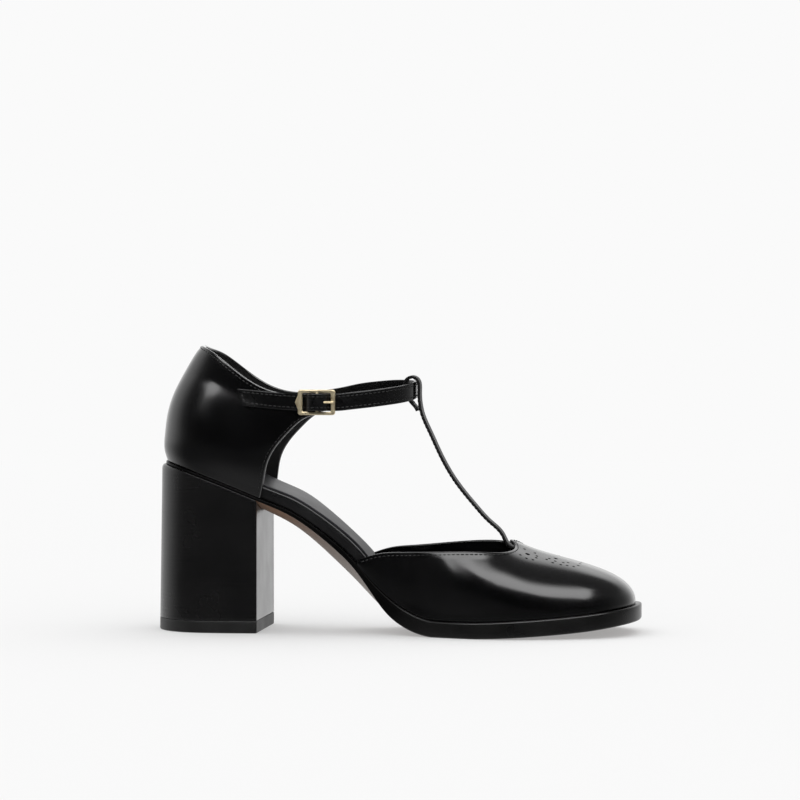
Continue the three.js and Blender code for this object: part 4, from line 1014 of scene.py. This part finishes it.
def quarter_surface(around, up):
    """Outer face of the quarter: around runs from -1 at the outer wing to 1 at the inner, up from 0 to 1."""
    around, up = np.broadcast_arrays(np.asarray(around, float), np.asarray(up, float))
    share = np.abs(around)
    side = np.where(around < 0.0, -1.0, 1.0)
    blend = (share * share * (3.0 - 2.0 * share))[..., None]
    foot_back = both_sides(quarter_foot, np.zeros(around.shape))
    foot_front = both_sides(quarter_foot, side)
    top_back = collar_point(np.zeros(around.shape))
    top_front = collar_point(side)
    behind = np.stack([back_along(up) * sole_length, foot_back[..., 1] * (1.0 - up),
                       mix(foot_back[..., 2], top_back[..., 2], back_rise(up))], axis=-1)
    backset = medial_backset * np.sin(math.pi * np.minimum(1.0, up / 0.8)) ** 0.5
    ahead = np.stack([front_along(up) * sole_length - np.where(side > 0.0, backset, 0.0),
                      side * front_across(up) * seat_width,
                      mix(foot_front[..., 2], top_front[..., 2], front_rise(up))], axis=-1)
    low = both_sides(quarter_foot, around) - mix(foot_back, foot_front, blend)
    high = collar_point(around) - mix(top_back, top_front, blend)
    t = up[..., None]
    place = mix(behind, ahead, blend) + low * (1.0 - t) + high * t
    place[..., 1] *= 1.0 + heel_fullness * np.sin(math.pi * up ** 0.8) * (1.0 - share ** 4)
    return place


inside_quarter = np.array([0.16 * sole_length, 0.0, 0.72 * collar_height])


def quarter_normal(around, up):
    return outward_normal(quarter_surface, around, up, inside_quarter)


def quarter_point(a, b, depth):
    around = 2.0 * a - 1.0
    face = quarter_surface(around, b)
    return settled(face - quarter_normal(around, b) * (depth * upper_wall)[..., None], b / 0.08)


quarter_mesh = wall_mesh("heel_quarter_calf", (230, 160.0, 0.7, 0.46), (120, 72.0, 0.7, 0.46), quarter_point)
shoe_piece("heel_quarter_calf", quarter_mesh, [calf, lining, glazed_edge], "upper_leather", "heel_quarter")

# Ankle strap: a strip of calf folded over a backing and sewn along both edges. Its
# tail lies on the outer wing, it humps through the buckle, goes round the ankle and
# is sewn to the inner wing. It has punched holes and a slanted tail.
strap_width = 8.2
strap_thickness = 1.5
strap_drop = 3.42
strap_seat = 0.45
instep_height = 116.7
hole_spacing = 6.8
hole_diameter = 2.1
tail_slant = 3.4
buckle_length = 19.4
buckle_height = 12.2
buckle_thickness = 1.5
bar_diameter = 1.5
tab_thickness = 0.7
tab_gap = 0.2
fitting_gap = 0.3


def quarter_at(x, z, side):
    """Places on the quarter's outer face at these x and z, with their outward normals."""
    x, z, side = (np.array(value, float) for value in np.broadcast_arrays(x, z, side))
    around = side * 0.7
    up = np.full(x.shape, 0.7)
    step = 1e-3
    for each_pass in range(40):
        here = quarter_surface(around, up)
        miss_x = x - here[..., 0]
        miss_z = z - here[..., 2]
        turned = (quarter_surface(around + step, up) - here) / step
        raised = (quarter_surface(around, up + step) - here) / step
        area = turned[..., 0] * raised[..., 2] - turned[..., 2] * raised[..., 0]
        around = around + 0.8 * (miss_x * raised[..., 2] - miss_z * raised[..., 0]) / area
        up = up + 0.8 * (turned[..., 0] * miss_z - turned[..., 2] * miss_x) / area
        around = side * np.clip(side * around, 0.02, 1.0)
        up = np.clip(up, 0.0, 1.0 - step)
    return quarter_surface(around, up), quarter_normal(around, up)


def smooth_route(points):
    """A smooth curve through points, walked at equal steps."""
    lengths = running_lengths(points)
    return walk(smooth_curve(lengths, points)(np.linspace(0.0, lengths[-1], 6001)))


def heading(route, share, step=0.003):
    return unit(route(np.minimum(1.0, share + step)) - route(np.maximum(0.0, share - step)))


wing_height = collar_rows[-1][3] * collar_height - strap_drop
buckle_at = 0.3388
wing_middle = quarter_at(buckle_at * sole_length, wing_height, -1.0)[0]
wing_behind = quarter_at((buckle_at - 0.05) * sole_length, wing_height, -1.0)[0]
wing_above = quarter_at(buckle_at * sole_length, wing_height + 2.0, -1.0)[0]
wing_forward = unit(wing_middle - wing_behind)
wing_upward = wing_above - wing_middle
wing_upward = unit(wing_upward - wing_forward * np.dot(wing_upward, wing_forward))
wing_outward = np.cross(wing_forward, wing_upward)


def on_wing(forward, upward, outward):
    """Place in the flat frame of the outer wing under the buckle."""
    forward, upward, outward = np.broadcast_arrays(forward, upward, outward)
    return (wing_middle + wing_forward * forward[..., None] + wing_upward * upward[..., None]
            + wing_outward * outward[..., None])


bar_forward = 0.75
buckle_reach = buckle_length / 2.0
bar_level = fitting_gap + tab_thickness + tab_gap + bar_diameter / 2.0
strap_hump = bar_level + bar_diameter / 2.0 + tab_thickness + 3.0 * tab_gap - strap_seat
frame_level = strap_seat + strap_thickness + fitting_gap + buckle_thickness / 2.0
# Tail and inner end: along and level; hump: forward and height; free stretch: along, across, climb
tail_rows = [(0.1745, 1.0183), (0.200, 1.0152), (0.226, 1.0105), (0.248, 1.0063), (0.270, 1.0031),
             (0.290, 1.0010)]
inner_rows = [(0.338, 1.0021), (0.315, 0.9958), (0.292, 0.9906), (0.270, 0.9864)]
hump_rows = [(-0.86, 0.00), (-0.64, 0.00), (-0.50, 0.14), (-0.30, 0.70), (-0.08, 0.99), (0.08, 1.02),
             (0.24, 0.98), (0.46, 0.64), (0.64, 0.18), (0.78, 0.00), (1.00, 0.00)]
ankle_rows = [
    (0.412, -0.912, 0.144), (0.446, -0.835, 0.311), (0.478, -0.695, 0.489), (0.509, -0.478, 0.689),
    (0.5275, -0.240, 0.889), (0.531, 0.000, 1.000), (0.5285, 0.240, 1.044), (0.511, 0.478, 1.056),
    (0.480, 0.660, 1.022), (0.445, 0.800, 0.878), (0.405, 0.890, 0.644), (0.370, 0.945, 0.311),
]
upwards = np.array([0.0, 0.0, 1.0])
strap_middle = strap_seat + strap_thickness / 2.0


def strap_seats(rows, side):
    """Places of the strap's middle line on the quarter, with their upward directions."""
    for along, level in rows:
        seat, normal = quarter_at(along * sole_length, level * wing_height, side)
        yield seat + normal * strap_middle, unit(upwards - normal * normal[2])


hump_line = [(on_wing(forward * buckle_reach, 0.0, strap_middle + strap_hump * hump), wing_upward)
             for forward, hump in hump_rows]
ankle_line = [(np.array([along * sole_length, across * seat_width / 2.0,
                         mix(wing_height, instep_height, climb)]), upwards)
              for along, across, climb in ankle_rows]
strap_nodes = [*strap_seats(tail_rows, -1.0), *hump_line, *ankle_line, *strap_seats(inner_rows, 1.0)]
strap_centres = np.array([centre for centre, up_axis in strap_nodes])
strap_lengths = running_lengths(strap_centres)
strap_length = strap_lengths[-1]
strap_route = smooth_route(strap_centres)
strap_up = smooth_curve(strap_lengths / strap_length, [up_axis for centre, up_axis in strap_nodes])


def on_strap(share, upward, outward):
    """Place by a share along the strap and distances up and out from its middle line."""
    share, upward, outward = np.broadcast_arrays(share, upward, outward)
    forward = heading(strap_route, share)
    raised = strap_up(share)
    raised = unit(raised - forward * np.sum(raised * forward, axis=-1, keepdims=True))
    out = np.cross(forward, raised)
    return strap_route(share) + raised * upward[..., None] + out * outward[..., None]


hug_ends = 0.320 * sole_length
hug_blend = 0.020 * sole_length


def strap_point(a, b, depth):
    """Ankle strap at shares along and across, pressed to the quarter wherever it lies on it."""
    share = mix(tail_slant * (1.0 - b) / strap_length, 1.0, a)
    out = (0.5 - depth) * strap_thickness
    free = on_strap(share, (b - 0.5) * strap_width, out)
    middle = on_strap(share, (b - 0.5) * strap_width, 0.0)
    hug = smooth_step((hug_ends - free[..., 0]) / hug_blend)[..., None]
    seat, normal = quarter_at(middle[..., 0], middle[..., 2], np.where(share < 0.5, -1.0, 1.0))
    hugging = seat + normal * (strap_middle + out)[..., None]
    return mix(free, hugging, hug)


strap_calf = leather("strap_calf", (0.0014, 0.0014, 0.0016), (0.0024, 0.0024, 0.0027), 0.22, 0.30, 0.014,
                     0.6, 12.0, coat_weight=0.15, coat_roughness=0.15)
strap_mesh = wall_mesh("ankle_strap_calf", (330, strap_length, 0.4, 0.28), (16, strap_width, 0.4, 0.28),
                       strap_point)
bm = bmesh.new()
bar_share = strap_lengths[len(tail_rows) + 5] / strap_length
for holes_along in (-0.15, 1.85, 2.85):
    share = bar_share + holes_along * hole_spacing / strap_length
    middle = on_strap(share, 0.0, strap_thickness / 2.0)
    punch(bm, middle, unit(middle - on_strap(share, 0.0, 0.0)), hole_diameter)
shoe_piece("ankle_strap_calf", cut_away(strap_mesh, bm), [strap_calf, lining, glazed_edge, punched],
           "strap_leather", "ankle_strap")

# T strap: a narrower strip that rises from under the throat, loops forwards over the
# ankle strap and is sewn down to its own back.
t_strap_width = 7.6
t_strap_thickness = 1.3
throat_arch = 0.4
# Shares from the ankle strap's top to the throat, then strap widths round the ankle strap
instep_rows = [(0.915, 0.030), (0.780, 0.118), (0.645, 0.212), (0.430, 0.385), (0.265, 0.570),
               (0.155, 0.725), (0.078, 0.843)]
loop_rows = [(0.33, -0.85), (0.28, -0.25), (0.28, 0.22), (0.18, 0.60), (-0.16, 0.78), (-0.48, 0.62),
             (-0.57, 0.28), (-0.46, -0.15), (-0.33, -0.52), (-0.12, -0.80), (0.07, -1.02), (0.18, -1.22)]
throat = vamp_surface(0.0, 1.0)
apex = strap_route(strap_lengths[len(tail_rows) + len(hump_rows) + 5] / strap_length)
t_points = [vamp_surface(0.0, share) - vamp_normal(0.0, share) * (
    upper_wall + seat_gap + throat_arch + t_strap_thickness / 2.0) for share in (0.86, 0.93, 0.995)]
t_points += [np.array([mix(apex[0], throat[0], forward), 0.0, mix(throat[2], apex[2], rise)])
             for forward, rise in instep_rows]
t_points += [np.array([apex[0] + forward * strap_width, 0.0, apex[2] + rise * strap_width])
             for forward, rise in loop_rows]
t_route = smooth_route(np.array(t_points))
t_length = running_lengths(np.array(t_points))[-1]
sideways = np.array([0.0, 1.0, 0.0])


def t_strap_point(a, b, depth):
    a, b, depth = np.broadcast_arrays(a, b, depth)
    out = np.cross(heading(t_route, a), sideways)
    return (t_route(a) + sideways * ((b - 0.5) * t_strap_width)[..., None]
            + out * ((0.5 - depth) * t_strap_thickness)[..., None])


t_strap_calf = leather("t_strap_calf", (0.0014, 0.0014, 0.0016), (0.0024, 0.0024, 0.0027), 0.42, 0.50,
                       0.014, 0.6, 12.0, specular_ior_level=0.25)
raw_edge = leather("raw_edge", (0.0040, 0.0040, 0.0042), (0.0060, 0.0060, 0.0062), 0.5, 0.6, 0.02, 0.5, 9.0,
                   specular_ior_level=0.2)
t_mesh = wall_mesh("t_strap_calf", (220, t_length, 0.35, 0.28), (14, t_strap_width, 0.35, 0.28),
                   t_strap_point)
shoe_piece("t_strap_calf", t_mesh, [t_strap_calf, lining, raw_edge], "strap_leather", "t_strap")

# Stitches: waxed black thread, about twelve to the inch, in one row inside every free
# edge of the upper and along both edges of the straps.
stitch_pitch = 2.2
stitch_length = 1.75
stitch_radius = 0.27
stitch_inside = 1.8
stitch_raise = 0.08
thread = leather("waxed_thread", (0.004, 0.004, 0.004), (0.008, 0.008, 0.008), 0.30, 0.42, 0.02, 0.2, 6.0)


def at_lengths(values, lengths, at):
    """Places or directions along a line, read at lengths along it."""
    return np.stack([np.interp(at, lengths, values[:, k]) for k in range(3)], axis=-1)


def stitch_row(bm, line, normals):
    """Small stitches laid end to end along a line on a surface."""
    lengths = running_lengths(line)
    at = stitch_pitch * (np.arange(int(lengths[-1] / stitch_pitch)) + 0.5)
    centres = at_lengths(line, lengths, at)
    ahead = at_lengths(line, lengths, at + 0.5)
    for centre, forward, out in zip(centres, unit(ahead - centres), unit(at_lengths(normals, lengths, at))):
        across = unit(np.cross(out, forward))
        middle = Matrix.Translation(placed(centre + out * stitch_raise))
        turned = Matrix((forward, across, out)).transposed().to_4x4()
        size = Matrix.Diagonal((stitch_length / 2.0 * MM, stitch_radius * MM, stitch_radius * 0.8 * MM, 1.0))
        lying = Matrix.Rotation(math.pi / 2.0, 4, "Y")
        bmesh.ops.create_uvsphere(bm, u_segments=6, v_segments=5, radius=1.0,
                                  matrix=middle @ turned @ size @ lying)


def stitch_piece(name, slot, lines):
    """Stitches along lines, as one piece of the shoe."""
    bm = bmesh.new()
    for line, normals in lines:
        stitch_row(bm, line, normals)
    for face in bm.faces:
        face.smooth = True
    mesh = bpy.data.meshes.new(name)
    bm.to_mesh(mesh)
    bm.free()
    shoe_piece(name, mesh, [thread], slot)


def edge_line(surface, normal, a, b, turn_a, turn_b):
    """A line on a surface of two shares, with its normals: it lies inside the edge at (a, b), whose
    inner side is in the direction (turn_a, turn_b)."""
    step = 0.02
    length = np.linalg.norm(surface(a + turn_a * step, b + turn_b * step) - surface(a, b), axis=-1)
    move = stitch_inside * step / length
    return surface(a + turn_a * move, b + turn_b * move), normal(a + turn_a * move, b + turn_b * move)


def strap_line(point, a, b):
    """A line along a strap's outer face, with its normals."""
    a, b = np.broadcast_arrays(a, b)
    face = point(a, b, np.zeros(a.shape))
    return face, unit(face - point(a, b, np.full(a.shape, 0.5)))


topline = np.linspace(-0.985, 0.985, 900)
stitch_piece("vamp_stitches", "upper_leather", [
    edge_line(vamp_surface, vamp_normal, topline, 1.0, 0.0, -1.0)])
collar = np.linspace(-0.975, 0.975, 900)
way = np.linspace(0.02, 0.975, 500)
stitch_piece("quarter_stitches", "upper_leather", [
    edge_line(quarter_surface, quarter_normal, collar, 1.0, 0.0, -1.0),
    edge_line(quarter_surface, quarter_normal, -1.0, way, 1.0, 0.0),
    edge_line(quarter_surface, quarter_normal, 1.0, way, -1.0, 0.0)])
edge = 1.5 / strap_width
along = np.linspace(0.012, 0.992, 1200)
stitch_piece("ankle_strap_stitches", "strap_leather", [
    strap_line(strap_point, along, edge), strap_line(strap_point, along, 1.0 - edge),
    strap_line(strap_point, 1.6 / strap_length, np.linspace(edge, 1.0 - edge, 40))])
edge = 1.4 / t_strap_width
along = np.linspace(0.06, 0.985, 800)
stitch_piece("t_strap_stitches", "strap_leather", [
    strap_line(t_strap_point, along, edge), strap_line(t_strap_point, along, 1.0 - edge)])

# Buckle: a rectangular frame of cast metal plated pale gold, gently bowed, with a
# pointed rear bar. A round centre bar carries the prong, whose tip rests on the front
# bar. A leather tab folded round the centre bar holds it to the wing.
buckle_rear_bar = 2.25
buckle_front_bar = 2.15
buckle_rail = 1.6
buckle_corner = 1.3
buckle_bow = 6.4
buckle_tip = 1.4
prong_diameter = 1.3
rod_sides = 16
bar_columns = 12
prong_columns = 60


def frame_outline(left, right, top, radius, tip):
    """Outline of the frame as 4 corners and 4 sides of equal counts, from the lower right corner."""
    corner = np.linspace(0.0, math.pi / 2.0, 7)
    side = np.linspace(0.0, 1.0, 15)[1:-1, None]
    middles = ((right - radius, radius - top), (right - radius, top - radius),
               (left + radius, top - radius), (left + radius, radius - top))
    arcs = [np.stack([x + radius * np.cos(corner + (quarter - 1) * math.pi / 2.0),
                      y + radius * np.sin(corner + (quarter - 1) * math.pi / 2.0)], axis=-1)
            for quarter, (x, y) in enumerate(middles)]
    path = []
    for arc, following in zip(arcs, arcs[1:] + arcs[:1]):
        path += [arc, mix(arc[-1], following[0], side)]
    path = np.concatenate(path + [arcs[0][:1]])
    pull = np.clip(1.0 - np.abs(path[:, 1]) / (0.55 * top), 0.0, 1.0) * (path[:, 0] < left + 0.01)
    path[:, 0] -= tip * pull
    return path


frame_left = buckle_tip - buckle_reach
outer_ring = frame_outline(frame_left, buckle_reach, buckle_height / 2.0, buckle_corner, buckle_tip)
inner_ring = frame_outline(frame_left + buckle_rear_bar, buckle_reach - buckle_front_bar,
                           buckle_height / 2.0 - buckle_rail, buckle_corner / 2.0, 0.0)
section = np.linspace(0.0, 2.0 * math.pi, 25)
section_across = np.sign(np.cos(section)) * np.abs(np.cos(section)) ** 0.45
section_level = np.sign(np.sin(section)) * np.abs(np.sin(section)) ** 0.45


def frame_point(i, j):
    share = (1.0 + section_across[j]) / 2.0
    flat = mix(inner_ring[i], outer_ring[i], share[:, None])
    bow = (frame_level - bar_level) * np.minimum(1.0, np.abs(flat[:, 0] - bar_forward) / buckle_bow) ** 2
    return on_wing(flat[:, 0], flat[:, 1], bar_level + bow + section_level[j] * buckle_thickness / 2.0)


gold, tree, shader = new_finish("pale_gold_plate")
where = node(tree, "ShaderNodeTexCoord").outputs["Object"]
brush = node(tree, "ShaderNodeTexNoise", {"Vector": where, "Scale": 900.0, "Detail": 4.0}).outputs[0]
smear = node(tree, "ShaderNodeTexNoise", {"Vector": where, "Scale": 160.0, "Detail": 2.0}).outputs[0]
tree.links.new(eased(tree, smear, 0.3, 0.7, 0.34, 0.44), shader["Roughness"])
plate = colour_between(tree, eased(tree, smear, 0.35, 0.7), (0.84, 0.70, 0.44), (0.92, 0.80, 0.56))
tree.links.new(plate, shader["Base Color"])
shader["Metallic"].default_value = 1.0
bumped = node(tree, "ShaderNodeBump", {"Strength": 0.5, "Distance": 0.01 * MM, "Height": brush})
tree.links.new(bumped.outputs[0], shader["Normal"])

frame_ring = surface_grid("frame_ring", len(outer_ring) - 1, len(section) - 1, frame_point)
bar_half = (buckle_height - buckle_rail) / 2.0
bar_route = walk(on_wing(bar_forward, np.linspace(-bar_half, bar_half, 9), bar_level))


def bar_point(i, j):
    angle = 2.0 * math.pi * j / rod_sides
    ring = wing_forward * np.cos(angle)[:, None] + wing_outward * np.sin(angle)[:, None]
    return bar_route(i / bar_columns) + ring * bar_diameter / 2.0


centre_bar = surface_grid("centre_bar", bar_columns, rod_sides, bar_point)
shoe_piece("buckle_gilt_frame", joined("buckle_gilt_frame", [frame_ring, centre_bar]), [gold], "pale_gold",
           "buckle_frame")

eye_radius = bar_diameter / 2.0 + tab_gap + prong_diameter / 2.0
rest = frame_level + buckle_thickness / 2.0 + tab_gap / 2.0 + prong_diameter / 2.0
curl = np.radians([185.0, 160.0, 135.0, 110.0])
forwards = np.concatenate([bar_forward + eye_radius * np.cos(curl), bar_forward + np.array([2.0, 5.0]),
                           buckle_reach - np.array([buckle_front_bar, 0.45])])
levels = np.concatenate([bar_level + eye_radius * np.sin(curl),
                         mix(bar_level + eye_radius, rest, np.array([0.3, 0.75])), [rest, rest - 0.05]])
prong_route = smooth_route(on_wing(forwards, 0.0, levels))


def prong_point(i, j):
    """Place on the round prong, which tapers to a rounded tip."""
    share = i / prong_columns
    forward = heading(prong_route, share, 0.01)
    raised = unit(np.cross(forward, np.cross(wing_upward, forward)))
    out = np.cross(forward, raised)
    angle = 2.0 * math.pi * j / rod_sides
    end = np.clip((1.0 - share) / 0.05, 0.0, 1.0)
    radius = prong_diameter / 2.0 * (1.0 - 0.12 * share) * np.sqrt(1.0 - (1.0 - end) ** 2)
    ring = raised * np.cos(angle)[:, None] + out * np.sin(angle)[:, None]
    return prong_route(share) + ring * radius[:, None]


prong_rod = surface_grid("prong_rod", prong_columns, rod_sides, prong_point)
shoe_piece("buckle_gilt_prong", joined("buckle_gilt_prong", [prong_rod]), [gold], "pale_gold",
           "buckle_prong")

# Tab: the CAD solid's own shape is right, so it takes the strap's leather.
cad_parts["buckle_tab"].material_slots[0].material = strap_calf
